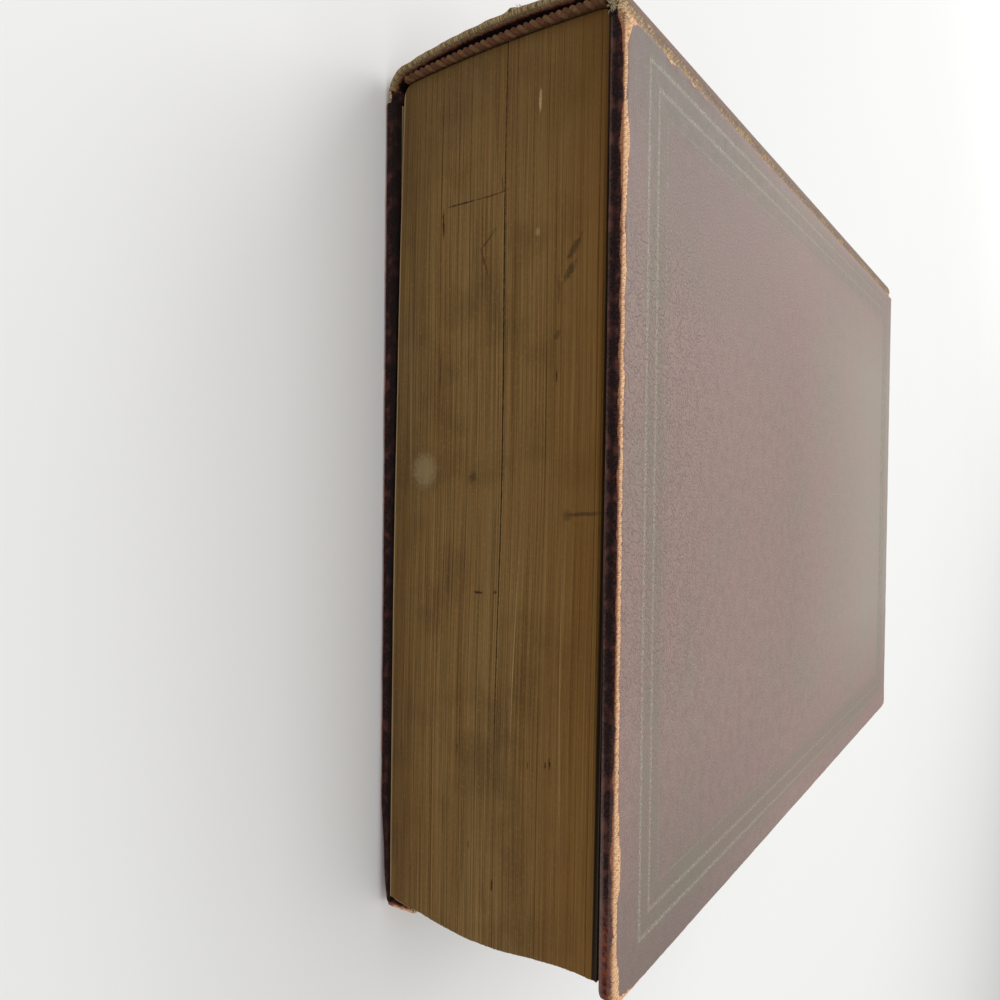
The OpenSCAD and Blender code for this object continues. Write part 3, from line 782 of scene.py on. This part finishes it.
def cover_loops(half_arc, wall_end):
    """The leather's loops over the edges: distance in from the outline, the same at the spine, depth and path."""
    loops = []
    for k in range(1, 7):
        a = math.radians(15 * k)
        d = ARRIS_R * (1 - math.sin(a))
        loops.append((d, SPINE_ARRIS_R * (1 - math.sin(a)), ARRIS_R * (1 - math.cos(a)), half_arc - ARRIS_R * a))
    for depth in np.linspace(ARRIS_R, wall_end, 7)[1:]:
        loops.append((0.0, 0.0, depth, -half_arc - (depth - ARRIS_R)))
    bottom_path = -half_arc - (wall_end - ARRIS_R)
    for k in (1, 2, 3):
        a = math.radians(30 * k)
        d = INNER_ARRIS_R * (1 - math.cos(a))
        loops.append((d, min(d, 0.45), wall_end + INNER_ARRIS_R * math.sin(a), bottom_path - INNER_ARRIS_R * a))
    for d, d_spine in ((4.0, 0.5), (9.0, 0.55), (TURN_IN_W, 0.6)):
        loops.append((d, d_spine, TURN_IN_DEPTH, bottom_path - d))
    # The inner side of the leather, which lies on the board
    clear, hidden_path = 0.05, bottom_path - TURN_IN_W
    inner_top, inner_under = COVER_T - clear, TURN_IN_DEPTH - COVER_T + clear
    loops.append((TURN_IN_W, 0.6, inner_under, hidden_path))
    loops.append((COVER_T - 0.03, 0.57, inner_under, hidden_path))
    loops.append((COVER_T - 0.03, 0.57, inner_top, hidden_path))
    return loops


def cover_skin(cover, sizes):
    """Points, faces and values of a cover's leather: its face, then loops over the edges and under."""
    width, ridge = sizes.wear_width / MM, sizes.ridge_height / MM
    xs = stepped(BOARD_SIDE_X + SPINE_ARRIS_R, FORE_X - ARRIS_R, 0.6, 1.45, 8.4)
    ys = stepped(TAIL_Y + ARRIS_R, HEAD_Y - ARRIS_R, 0.6, 1.8, 8.4)
    nx, ny = len(xs), len(ys)
    half_arc = ARRIS_R * math.pi / 4
    wall_end = TURN_IN_DEPTH - INNER_ARRIS_R
    loops = cover_loops(half_arc, wall_end)
    points, flat, worn, kept = [], [], [], []

    def place_point(x, y, depth, fx, fy, wear, dark, out, raise_by):
        px, py = rounded_corner(x, y)
        wobble = 0.1 * drift(fx / 11, fy / 11, 4.0) + 0.05 * drift(fx / 3.2, fy / 3.2, 9.0)
        swell = ridge * wear * (0.7 + 0.6 * drift(fx / 1.7, fy / 1.7, 1.0))
        points.append((
            px + out[0] * (wobble + swell), py + out[1] * (wobble + swell),
            BOOK_T - depth + raise_by * (wobble + swell),
        ))
        flat.append((fx, fy, 0.0))
        worn.append(wear)
        kept.append(dark)

    for y in ys:
        for x in xs:
            sides = {
                "tail": (y - ys[0], x), "head": (ys[-1] - y, x),
                "spine": (x - xs[0], y), "fore": (xs[-1] - x, y),
            }
            wear = max(
                edge_wear(cover, side, run, half_arc + off, width) if off < 6 else 0.0
                for side, (off, run) in sides.items()
            )
            near = min(off for off, _ in sides.values())
            place_point(x, y, 0.0, x, y, wear, 0.0, (0, 0), 1.0 if near < 8 else 0.7)

    ring = (
        [(i, 0, "tail") for i in range(nx)] + [(nx - 1, j, "fore") for j in range(1, ny)]
        + [(i, ny - 1, "head") for i in range(nx - 2, -1, -1)] + [(0, j, "spine") for j in range(ny - 2, 0, -1)]
    )
    room = 20.0
    for d, d_spine, depth, path in loops:
        for i, j, side in ring:
            bx, by = xs[i], ys[j]
            to_spine = max(0.0, 1 - (bx - xs[0]) / room)
            to_fore = max(0.0, 1 - (xs[-1] - bx) / room)
            to_tail = max(0.0, 1 - (by - ys[0]) / room)
            to_head = max(0.0, 1 - (ys[-1] - by) / room)
            x = bx + (d_spine - SPINE_ARRIS_R) * to_spine - (d - ARRIS_R) * to_fore
            y = by + (d - ARRIS_R) * (to_tail - to_head)
            run = bx if side in ("tail", "head") else by
            beyond = half_arc - path
            normal = {"tail": (0, -1), "head": (0, 1), "fore": (1, 0), "spine": (-1, 0)}[side]
            hidden = depth > TURN_IN_DEPTH - 0.01 or d > INNER_ARRIS_R + 0.01
            tilt = 0.0 if hidden else float(np.clip((path + half_arc) / (2 * half_arc), 0, 1))
            wear = edge_wear(cover, side, run, path, width)
            if cover == "front" and side == "tail" and path < 0:
                wear = max(wear, 0.3 * ease(run, 70, 92))
            # Painted shade on the walls: the back cover's turns black towards its inner edge, under the pages, and the
            # front cover's is blackest in the middle and greyer towards its inner edge
            down = (-path - half_arc) / (wall_end - ARRIS_R)
            dark = ease(-path, -0.2, 0.75)
            if cover == "back":
                dark *= 1.05 + 0.5 * ease(down, 0.3, 0.9)
            else:
                dark *= 1 + 0.45 * ease(down, 0.1, 0.4) - 0.57 * ease(down, 0.55, 1.0)
                if side == "tail":
                    dark *= 1 - 0.3 * ease(run, 30, 95)
            share = 0.0 if hidden else 1.0
            place_point(
                x, y, depth, bx + normal[0] * beyond, by + normal[1] * beyond, wear, dark,
                (normal[0] * (1 - tilt) * share, normal[1] * (1 - tilt) * share), tilt,
            )

    faces = grid_faces(ny, nx)
    border = [j * nx + i for i, j, _ in ring]
    count, first = len(ring), nx * ny
    for k in range(count):
        n = (k + 1) % count
        faces.append((border[k], border[n], first + n, first + k))
    faces += grid_faces(len(loops), count, first, closed=True)
    faces.append(tuple(range(first + (len(loops) - 1) * count, first + len(loops) * count)))
    return np.array(points), faces, flat, worn, kept


# The bumped tail corner of the back cover: the lug bent up there, with its height, the height at
# which it starts, its length and thickness, and how far the corner is crushed
LUG_H = 11.0
LUG_FOOT = 3.0
LUG_L = 10.0
LUG_T = 2.5
CRUSH = 2.5


def crushed(points):
    """Lifts the underside of the back cover where its tail corner is crushed."""
    # In from the corner it fades out over about 25 mm along both edges, and up through the cover
    x, y, z = points.T
    near = (0.5 * ease(x, 76, 92) + 0.5 * ease(x, 93, FORE_X)) * ease(-y, 115, -TAIL_Y - 1)
    points[:, 2] = z + CRUSH * near * np.clip(1 - z / TURN_IN_DEPTH, 0, 1)
    return points


def bumped_lug():
    """The crushed corner of the covering, bent up against the pages, as a closed curled strip."""
    points, flat, worn, kept = [], [], [], []
    rows, columns = 22, 26
    for r in range(rows):
        up = r / (rows - 1)
        z = LUG_FOOT + (LUG_H - LUG_FOOT) * up
        curl = 1.0 * up**2
        reach = LUG_L * (1 - 0.72 * up) * (1 + 0.05 * drift(up * 4, 1.0))
        thick = LUG_T * (0.95 - 0.1 * up)
        for c in range(columns):
            turn = 2 * math.pi * c / columns
            # A long round section: thick across X, reaching along Y from the tail edge
            across = thick / 2 * math.copysign(abs(math.cos(turn)) ** 0.7, math.cos(turn))
            along = reach / 2 * math.copysign(abs(math.sin(turn)) ** 0.7, math.sin(turn))
            x = FORE_X - LUG_T / 2 - 0.25 + across - 0.6 * curl
            y = TAIL_Y + 0.25 + reach / 2 + along + 0.2 * curl
            fold = 0.1 * drift(y / 1.4, z / 1.6, 2.0)
            points.append((x + fold, y, z + 0.15 * drift(x, y / 2, 3.0) * up))
            flat.append((x + y, z, 0.0))
            # The outer side is rubbed to the cloth; the inner side is painted dark, a painted shade in the gap beside
            # the pages
            outer = ease(math.cos(turn), -0.5, 0.3)
            worn.append(0.2 + (0.5 + 0.3 * up) * outer * ease(up, 0.1, 0.35))
            kept.append(1.3 - 1.15 * outer)
    return np.array(points), tube_faces(rows, columns), flat, worn, kept


class BOOK_OT_covers(bpy.types.Operator):
    """Build the worn leather of both covers, turned in over the boards, and the bumped corner"""

    bl_idname = "book.covers"
    bl_label = "Cover leather"

    def execute(self, context):
        sizes, colours = context.scene.book_sizes, context.scene.book_colours
        for cover in ("front", "back"):
            points, faces, flat, worn, kept = cover_skin(cover, sizes)
            if cover == "back":
                points[:, 2] = BOOK_T - points[:, 2]
                points = crushed(points)
                lug = bumped_lug()
                shift = len(points)
                points = np.concatenate([points, lug[0]])
                faces = faces + [tuple(i + shift for i in face) for face in lug[1]]
                flat, worn, kept = flat + lug[2], worn + lug[3], kept + lug[4]
            points[:, 2] = np.maximum(points[:, 2], 0.0)
            material = leather_material(
                f"grained leather cloth, {cover}", colours, "#C4865A", colours.cloth, colours.torn, 0.42,
                framed=cover == "front",
            )
            skin = make_piece(f"{cover}_leather", points, faces, material, flat=flat, worn=worn, kept=kept)
            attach(skin, f"{cover}_cover")
            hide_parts(f"{cover}_covering")

        # The back board, crushed with its covering
        low, high = box_mm("back_board")
        path = [(x, low[2]) for x in np.linspace(low[0], high[0], 60)]
        points, faces, flat = ribbon(path, high[2] - low[2], (low[1], high[1]), 80)
        points = np.array([(*rounded_corner(x, y), z) for x, y, z in points])
        pasteboard = sheet_goods_material("grey-brown pasteboard, back", *PASTEBOARD)
        board = make_piece("crushed_board", crushed(points), faces, pasteboard, flat=flat)
        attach(board, "back_cover")
        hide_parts("back_board")
        # From the pastedown's corner it bends up behind the lug
        path = [(97.6, 4.12), (99.0, 4.3), (99.8, 4.9), (100.15, 6.2), (100.4, 8.5), (100.6, 10.4)]
        leaf_t = 0.22
        points, faces, flat = ribbon(path, -leaf_t, (-138.95, -131.5), 8)
        paper = make_piece("bent_endpaper", points, faces, endpaper_material("bent endpaper", colours), flat=flat)
        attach(paper, "back_cover")
        return {"FINISHED"}


def rolled_end(radius, steps):
    """Half a turn over the head end of a strip of leather: places along Y with depths under its face."""
    roll_y = HEAD_Y - radius
    return [
        (roll_y + radius * math.cos(a), radius - radius * math.sin(a))
        for a in np.radians(np.linspace(90, -90, steps))
    ]


def lengthwise(end, roll_y):
    """The closed section along a strip of leather: its face between the rolls, the head end and the tail end."""
    face = [(y, 0.0) for y in stepped(-roll_y, roll_y, 0.8, 2.4, 8.0)[1:-1]]
    return face + end + [(-y, depth) for y, depth in reversed(end)]


def spine_path(depth):
    """The spine's section inside its face by a depth, from the front groove to the back one."""
    wall = min(depth, COVER_T)
    lip_r = 0.4
    half = [(SHOULDER_SIDE_X - wall, MID_Z + SPINE_HALF - up) for up in (1.3, 1.0, 0.7, lip_r)]
    for k in (1, 2, 3):
        a = math.radians(25 * k)
        r = max(lip_r - depth, 0.02)
        half.append((
            SHOULDER_SIDE_X - lip_r + r * math.cos(a) - max(wall - lip_r, 0),
            MID_Z + SPINE_HALF - lip_r + r * math.sin(a) - max(depth - lip_r, 0),
        ))
    straight = SPINE_HALF - SHOULDER_R
    circle = (SPINE_BOW**2 + straight**2) / (2 * SPINE_BOW)
    lean = math.degrees(math.atan(straight / (circle - SPINE_BOW)))
    centre_x = SPINE_X + SPINE_BOW + SHOULDER_R
    for angle in np.linspace(97, 180 - lean, 18):
        a = math.radians(angle)
        half.append((
            centre_x + (SHOULDER_R - depth) * math.cos(a),
            MID_Z + straight + (SHOULDER_R - depth) * math.sin(a),
        ))
    big = circle + SHOULDER_R - depth
    for angle in np.linspace(180 - lean, 180, 26)[1:]:
        a = math.radians(angle)
        half.append((SPINE_X + circle + SHOULDER_R + big * math.cos(a), MID_Z + big * math.sin(a)))
    return half + [(x, BOOK_T - z) for x, z in half[-2::-1]]


class BOOK_OT_spine(bpy.types.Operator):
    """Build the leather of the hollow spine with its rolled and frayed caps"""

    bl_idname = "book.spine"
    bl_label = "Spine leather"

    def execute(self, context):
        colours = context.scene.book_colours
        roll_y = HEAD_Y - CAP_R
        # One end of the section along the spine: the roll over the end, then the turned-in cap
        inner_y = HEAD_Y - COVER_T
        end = rolled_end(CAP_R, 11) + [
            (roll_y - 1.4, CAP_INNER), (HEAD_Y - CAP_TURN_IN, CAP_INNER), (HEAD_Y - CAP_TURN_IN, CAP_INNER - COVER_T),
            (inner_y - 0.6, CAP_INNER - COVER_T), (inner_y, COVER_T + 0.1),
        ]
        section = lengthwise(end, roll_y)
        on_face = len(section) - 2 * len(end)
        paths = {depth: spine_path(depth) for depth in {round(d, 6) for _, d in section}}
        outer = paths[0.0]
        steps = [0.0]
        for (x0, z0), (x1, z1) in zip(outer, outer[1:]):
            steps.append(steps[-1] + math.hypot(x1 - x0, z1 - z0))
        points, flat, worn, kept = [], [], [], []
        for p, s in enumerate(steps):
            for k, (y, depth) in enumerate(section):
                x, z = paths[round(depth, 6)][p]
                at_end = ease(abs(y), roll_y - 1.6, roll_y + 0.4)
                rough = 0.16 * drift(s / 2.6, y * 0.3, 6.0) + 0.1 * drift(s / 0.9, y, 8.0)
                # A nick torn in the tail cap
                nick = 0.7 * math.exp(-(((z - 37.4) / 0.9) ** 2)) if y < 0 and depth < CAP_R else 0.0
                dip = 0.12 * drift(s / 14, y / 30, 2.0) if k < on_face else 0.0
                x += -at_end * (rough + nick) + dip * 0.5
                points.append((x, y + at_end * 0.12 * drift(s / 3.0, 5.0, y), z))
                flat.append((s, y + math.copysign(depth, y) if abs(y) > roll_y else y, 0.0))
                shoulder = min(s, steps[-1] - s)
                rub = 0.42 * math.exp(-(((shoulder - 2.6) / 2.2) ** 2)) + 0.1 * drift(s / 8, y / 8)
                cap = 0.35 + 0.62 * at_end if abs(y) > roll_y - 1.6 else 0.0
                corner = 0.7 * math.exp(-((shoulder / 6) ** 2) - ((abs(y) - HEAD_Y) / 4) ** 2)
                # Inside the cap the leather is painted nearly black: painted shade in the hollow
                inside = depth > CAP_R and abs(y) < roll_y - 0.3
                worn.append(max(rub, cap, corner) * (0.3 if inside else 1.0))
                kept.append(1.5 if inside else 0.3 * (1 - at_end))
        faces = tube_faces(len(steps), len(section))
        material = leather_material(
            "grained leather cloth, spine", colours, "#4C3C24", colours.cap_cloth, srgb("#70624A"), 0.62,
        )
        skin = make_piece("spine_leather", points, faces, material, flat=flat, worn=worn, kept=kept)
        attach(skin, "block")
        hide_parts("spine_covering")
        return {"FINISHED"}


def along_path(path):
    """How far each point of a path lies along it, and the direction of the path there."""
    run = np.concatenate([[0], np.cumsum(np.linalg.norm(np.diff(path, axis=0), axis=1))])
    ahead = np.gradient(path, axis=0)
    return run, ahead / np.linalg.norm(ahead, axis=1)[:, None]


def ribbon(path, thick, ends, steps):
    """A closed strip: a path of (x, z) with its thickness on the left, swept from end to end along Y."""
    path = np.array(path, float)
    run, ahead = along_path(path)
    left = np.stack([-ahead[:, 1], ahead[:, 0]], 1)
    loop = np.concatenate([path, (path + left * thick)[::-1]])
    run = np.concatenate([run, run[::-1]])
    points, flat = [], []
    for y in np.linspace(ends[0], ends[1], steps):
        for (x, z), r in zip(loop, run):
            points.append((x, y, z))
            flat.append((r, y, 0.0))
    return np.array(points), tube_faces(steps, len(loop)), flat


class BOOK_OT_joints(bpy.types.Operator):
    """Build the covering of the two joints, sunk a little between spine and cover"""

    bl_idname = "book.joints"
    bl_label = "Joint leather"

    def execute(self, context):
        colours = context.scene.book_colours
        material = leather_material(
            "grained leather cloth, joints", colours, "#7A6040", srgb("#D2B48C"), srgb("#86765E"), 0.5,
        )
        # Each row crosses the joint, from under the spine's lip to under the cover's edge. The strip lies
        # inset under the book's face and is sunk a little more in the middle
        left, right, stiff_w = SHOULDER_SIDE_X - 0.15, BOARD_SIDE_X + 0.1, 1.0
        inset, sunk, roll_r = 0.75, 0.4, 0.9
        # Along the strip it rolls over both ends. The turned-in folds fill the groove there and run on under it
        filled, under, inner = 3.1, 2 * roll_r, 2 * roll_r - 0.5
        end = rolled_end(roll_r, 9) + [
            (HEAD_Y - 1.4, filled), (HEAD_Y - 3.6, filled), (HEAD_Y - 4.2, under), (HEAD_Y - CAP_TURN_IN, under),
            (HEAD_Y - CAP_TURN_IN, inner), (HEAD_Y - COVER_T, inner), (HEAD_Y - COVER_T, COVER_T),
        ]
        section = lengthwise(end, HEAD_Y - roll_r)
        rows = 21
        for cover in ("front", "back"):
            points, flat, worn, kept = [], [], [], []
            for across in np.linspace(0, 1, rows):
                x = left + (right - left) * across
                level = BOOK_T - inset - sunk * math.sin(math.pi * across)
                for y, depth in section:
                    rough = 0.1 * drift(y / 3, across * 2, 1.0)
                    points.append((x, y, level - depth + rough))
                    flat.append((x, y, 0.0))
                    near = math.exp(-(((abs(y) - HEAD_Y) / 2.5) ** 2))
                    spots = extra_wear(cover, "spine", y)
                    rub = 0.44 + 0.3 * spots * across + 0.12 * drift(y / 9, across, 4.0)
                    # The leather turned in under the strip is painted nearly black: painted shade
                    worn.append(min(rub + 0.6 * near, 1.0) if depth <= roll_r else 0.2)
                    kept.append(0.1 if depth <= roll_r else 1.4)
            faces = tube_faces(rows, len(section))
            points = np.array(points)
            if cover == "back":
                points[:, 2] = BOOK_T - points[:, 2]
            strip = make_piece(f"{cover}_joint_leather", points, faces, material, flat=flat, worn=worn, kept=kept)
            level = MM * points[:, 2].mean()
            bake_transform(strip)
        return {"FINISHED"}


class BOOK_OT_endpapers(bpy.types.Operator):
    """Give the pasted and loose endleaves their paper and build the folds that join them at the hinges"""

    bl_idname = "book.endpapers"
    bl_label = "Endpapers"

    def execute(self, context):
        paper = endpaper_material("aged endpaper", context.scene.book_colours)
        # The front flyleaf gets a painted shade along its tail end
        tail_shade = endpaper_material("aged endpaper, dusty", context.scene.book_colours, 0.95)
        for node in ("front_pastedown", "back_pastedown", "front_flyleaf", "back_flyleaf"):
            dress(node, tail_shade if node == "front_flyleaf" else paper)
        # The fold fills the space between the loose leaf and the pasted one and laps on to both
        clear, paper_t, stiff_h, half_l = 0.03, 0.04, 0.05, 134.5
        low, high = leaf_high[2] + clear, paste_low[2] - clear
        fold_x, lap_x, radius = -94.45, -89.0, (high - low) / 2
        path = [(x, low) for x in np.linspace(lap_x, fold_x, 6)]
        path += [
            (fold_x + radius * math.cos(a), low + radius + radius * math.sin(a))
            for a in np.radians(np.linspace(270, 90, 25))[1:-1]
        ]
        path += [(x, high) for x in np.linspace(fold_x, lap_x, 6)]
        for cover in ("front", "back"):
            points, faces, flat = ribbon(path, -paper_t, (-half_l, half_l), 40)
            ends = (low + stiff_h, high - stiff_h)
            if cover == "back":
                points[:, 2] = BOOK_T - points[:, 2]
                ends = (BOOK_T - ends[0], BOOK_T - ends[1])
            fold = make_piece(f"{cover}_endpaper_fold", points, faces, paper, flat=flat)
            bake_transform(fold)
        return {"FINISHED"}


def bead_line(proud):
    """The line of an endband's cord along the back of the pages, evenly stepped, with its outward normals."""
    heights = MID_Z + (BLOCK_HALF - 0.3) * np.sin(np.radians(np.linspace(90, -90, 721)))
    dense = np.array([(back_x(z, proud), z) for z in heights])
    run, _ = along_path(dense)
    even = np.linspace(0.9, run[-1] - 0.9, 420)
    line = np.stack([np.interp(even, run, dense[:, 0]), np.interp(even, run, dense[:, 1])], 1)
    _, ahead = along_path(line)
    return line, even, np.stack([ahead[:, 1], -ahead[:, 0]], 1)


class BOOK_OT_endbands(bpy.types.Operator):
    """Build the two-coloured twisted cords over the ends of the pages, with their cloth skirts"""

    bl_idname = "book.endbands"
    bl_label = "Endbands"

    def execute(self, context):
        sizes, colours = context.scene.book_sizes, context.scene.book_colours
        radius, pitch = sizes.cord_radius / MM, sizes.wrap_pitch / MM
        line, run, normals = bead_line(CORD_PROUD)
        bead_y = PAGES_TAIL_Y - CORD_OUT
        sides = 22
        points, wrap, strand = [], [], []
        for (x, z), s, (nx, nz) in zip(line, run, normals):
            rounding = math.sqrt(max(0.05, min(1.0, (s - 0.55) / 0.9, (run[-1] + 0.35 - s) / 0.9)))
            for k in range(sides):
                a = 2 * math.pi * k / sides
                phase = s / (2 * pitch) - a / (2 * math.pi)
                lobe = abs(math.sin(2 * math.pi * phase)) ** 0.7
                r = radius * rounding * (0.52 + 0.48 * lobe + 0.05 * drift(s * 0.8, a, 2.0))
                points.append((x + nx * r * math.cos(a), bead_y + r * math.sin(a), z + nz * r * math.cos(a)))
                wrap.append(1.0 if math.floor(2 * phase) % 2 else 0.0)
                strand.append((phase * 6, s, a))
        faces = tube_faces(len(line), sides)
        # The skirt under the cord, glued to the back of the pages
        shift = len(points)
        skirt_half = BLOCK_HALF - 1.2
        levels = np.linspace(MID_Z - skirt_half, MID_Z + skirt_half, 60)
        for y in (bead_y, PAGES_TAIL_Y + SKIRT_L):
            for offset, heights in ((LINING_OUT, levels), (LINING_IN, levels[::-1])):
                for z in heights:
                    points.append((back_x(z, offset), y, z))
                    wrap.append(1.0)
                    strand.append((y, z, 0.0))
        faces += tube_faces(2, 2 * len(levels), shift)
        material = thread_material("wound cotton thread", colours.thread_a, colours.thread_b, 0.6)
        for end, side in (("tail", 1), ("head", -1)):
            placed = np.array(points) * (1, side, 1)
            band = make_piece(f"{end}_twisted_band", placed, faces, material, 60.0, wrap=wrap, strand=strand)
            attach(band, "block")
            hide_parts(f"{end}_endband")
        return {"FINISHED"}


# Tufts of loose thread: body, name, seed, count, root, spread of the roots, aim and length
TUFTS = (
    ("block", "cap_threads", 3, 150, (-96.4, -138.4, 62.2), (1.6, 0.4, 1.1), (0.1, -0.5, 0.1), 1.1),
    ("front_cover", "front_corner_threads", 5, 130, (-92.2, -138.3, 64.7), (1.1, 0.7, 0.6), (0.0, -0.5, 0.3), 0.8),
    ("back_cover", "back_corner_threads", 8, 90, (101.4, -138.0, 10.6), (0.6, 0.8, 0.4), (0.2, -0.4, 0.7), 0.8),
    ("block", "nick_threads", 9, 12, (-103.2, -138.7, 39.6), (0.3, 0.3, 0.8), (-0.6, -0.4, 0.2), 0.7),
)


def thread_tube(pick, root, aim, long, radius):
    """Points and faces of one curled thread."""
    place, way = Vector(root), Vector(aim).normalized()
    rings, sides, points = 7, 5, []
    for k in range(rings):
        way = (way + 0.55 * Vector([pick.uniform(-1, 1) for _ in range(3)])).normalized()
        side = way.orthogonal().normalized()
        other = way.cross(side)
        r = radius * (1 - 0.55 * k / (rings - 1))
        for s in range(sides):
            a = 2 * math.pi * s / sides
            points.append(place + side * (r * math.cos(a)) + other * (r * math.sin(a)))
        place = place + way * (long / (rings - 1))
    return points, tube_faces(rings, sides)


class BOOK_OT_frays(bpy.types.Operator):
    """Build the loose threads of the torn cloth at the cap and the bumped corners"""

    bl_idname = "book.frays"
    bl_label = "Frayed threads"

    def execute(self, context):
        sizes = context.scene.book_sizes
        # The loose threads are painted lighter than their tan cloth: a painted highlight
        material = thread_material("frayed cloth thread", srgb("#DCC094"), srgb("#FFF0CC"), 0.08)
        for body, name, seed, count, root, room, aim, long in TUFTS:
            pick = random.Random(seed)
            points, faces, wrap, strand = [], [], [], []
            for _ in range(count):
                start = [r + pick.uniform(-1, 1) * w for r, w in zip(root, room)]
                toward = [a + pick.uniform(-0.6, 0.6) for a in aim]
                more, quads = thread_tube(
                    pick, start, toward, long * pick.uniform(0.4, 1.0), sizes.thread_radius / MM
                )
                faces += [tuple(i + len(points) for i in face) for face in quads]
                points += more
                shade = pick.random()
                wrap += [shade] * len(more)
                strand += [(p[0] * 3, p[1] * 3, p[2] * 3) for p in more]
            tuft = make_piece(name, points, faces, material, 80.0, wrap=wrap, strand=strand)
            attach(tuft, body)
        return {"FINISHED"}


class BOOK_OT_linings(bpy.types.Operator):
    """Give the boards and what lines the back of the pages their own materials"""

    bl_idname = "book.linings"
    bl_label = "Boards and linings"

    def execute(self, context):
        board = sheet_goods_material("grey-brown pasteboard", *PASTEBOARD)
        tape = sheet_goods_material("linen sewing tape", "#A89874", "#D2C6A6", 0.7, 0.08)
        mull = sheet_goods_material("open-weave mull", "#8E8064", "#D8CEB2", 1.3, 0.15)
        lining = sheet_goods_material("brown lining paper", "#6A4E32", "#8C6E4A", 0.4, 0.02)
        for material, nodes in (
            (board, ("front_board", "back_board", "spine_inlay")), (tape, ("sewing_tapes",)),
            (mull, ("mull",)), (lining, ("spine_lining",)),
        ):
            for node in nodes:
                dress(node, material)
        return {"FINISHED"}


# Matt white laminate: a plain pale table, a little uneven in tone
def table_material(colours):
    material, tree = new_tree("white laminate table")
    place = add(tree, "TexCoord").outputs["Object"]
    cloud = add(tree, "TexNoise", {"Vector": place, "Scale": 3.0, "Detail": 1.0})
    paint = layered(tree, colours.table, (cloud, 0.0, 1.0, 0.12, srgb("#DDDFDF")))
    shader = add(tree, "BsdfPrincipled", {"Base Color": paint, "Roughness": 0.9, "Specular IOR Level": 0.0})
    add(tree, "OutputMaterial", {"Surface": shader})
    return material


# The camera as fitted to the photographed book's straight edges
CAMERA_AT = (-0.43, -276.88, 136.62)
CAMERA_AXES = (
    (-0.01068864, 0.58977754, 0.80749502),
    (-0.99981021, 0.00685028, -0.01823758),
    (-0.01628768, -0.8075367, 0.58959239),
)
CAMERA_LENS = 28.107
SENSOR_W = 36.0


class BOOK_OT_stage(bpy.types.Operator):
    """Set the table, the lamps, the pale surroundings and the camera at the photograph's angle"""

    bl_idname = "book.stage"
    bl_label = "Stage"

    def execute(self, context):
        scene = context.scene
        half = 2500.0
        floor_points = [(-half, -half, 0), (half, -half, 0), (half, half, 0), (-half, half, 0)]
        table = make_piece("table", floor_points, [(0, 1, 2, 3)], table_material(scene.book_colours))

        world = bpy.data.worlds.new("pale room")
        scene.world = world
        world.use_nodes = True
        tree = world.node_tree
        tree.nodes.clear()
        rays = add(tree, "LightPath")
        lit = add(tree, "Background", {"Color": (0.99, 0.99, 1.0, 1.0), "Strength": 0.56})
        shown = add(tree, "Background", {"Color": (1.0, 1.0, 1.0, 1.0), "Strength": 1.0})
        blend = add(tree, "MixShader", {0: rays.outputs["Is Camera Ray"], 1: lit, 2: shown})
        add(tree, "OutputWorld", {"Surface": blend})

        for name, place, aim, size, power in (
            ("window", (-1750, 2100, 1750), (0, 0, 30), 2200, 42.0),
            ("ceiling", (0, -100, 1600), (0, 0, 0), 1500, 9.0),
        ):
            lamp = bpy.data.lights.new(name, "AREA")
            lamp.size = size * MM
            lamp.energy = power
            holder = bpy.data.objects.new(name, lamp)
            holder.location = Vector(place) * MM
            holder.rotation_euler = (Vector(aim) - Vector(place)).to_track_quat("-Z", "Y").to_euler()
            scene.collection.objects.link(holder)

        camera = bpy.data.cameras.new("camera")
        camera.lens = CAMERA_LENS
        camera.sensor_width = SENSOR_W
        camera.clip_start = 0.01
        holder = bpy.data.objects.new("camera", camera)
        right, up, back = (Vector(axis) for axis in CAMERA_AXES)
        holder.matrix_world = (
            Matrix.Translation(Vector(CAMERA_AT) * MM) @ Matrix((right, up, back)).transposed().to_4x4()
        )
        scene.collection.objects.link(holder)
        scene.camera = holder
        scene.view_settings.view_transform = "Standard"
        return {"FINISHED"}


OPERATORS = (
    BOOK_OT_stage, BOOK_OT_leaves, BOOK_OT_covers, BOOK_OT_spine, BOOK_OT_joints,
    BOOK_OT_endpapers, BOOK_OT_endbands, BOOK_OT_frays, BOOK_OT_linings,
)


class BOOK_PT_panel(bpy.types.Panel):
    """Lists the book's sizes, colours and pieces"""

    bl_idname = "BOOK_PT_panel"
    bl_label = "Antique book"
    bl_space_type = "VIEW_3D"
    bl_region_type = "UI"
    bl_category = "Book"

    def draw(self, context):
        for group in (context.scene.book_sizes, context.scene.book_colours):
            for name in group.__annotations__:
                self.layout.prop(group, name)
        for operator in OPERATORS:
            self.layout.operator(operator.bl_idname)


CLASSES = (BookSizes, BookColours, *OPERATORS, BOOK_PT_panel)


def register():
    for cls in CLASSES:
        bpy.utils.register_class(cls)
    bpy.types.Scene.book_sizes = bpy.props.PointerProperty(type=BookSizes)
    bpy.types.Scene.book_colours = bpy.props.PointerProperty(type=BookColours)


def unregister():
    del bpy.types.Scene.book_colours
    del bpy.types.Scene.book_sizes
    for cls in reversed(CLASSES):
        bpy.utils.unregister_class(cls)


def main():
    register()
    for operator in OPERATORS:
        family, name = operator.bl_idname.split(".")
        getattr(getattr(bpy.ops, family), name)()


if __name__ == "__main__":
    main()
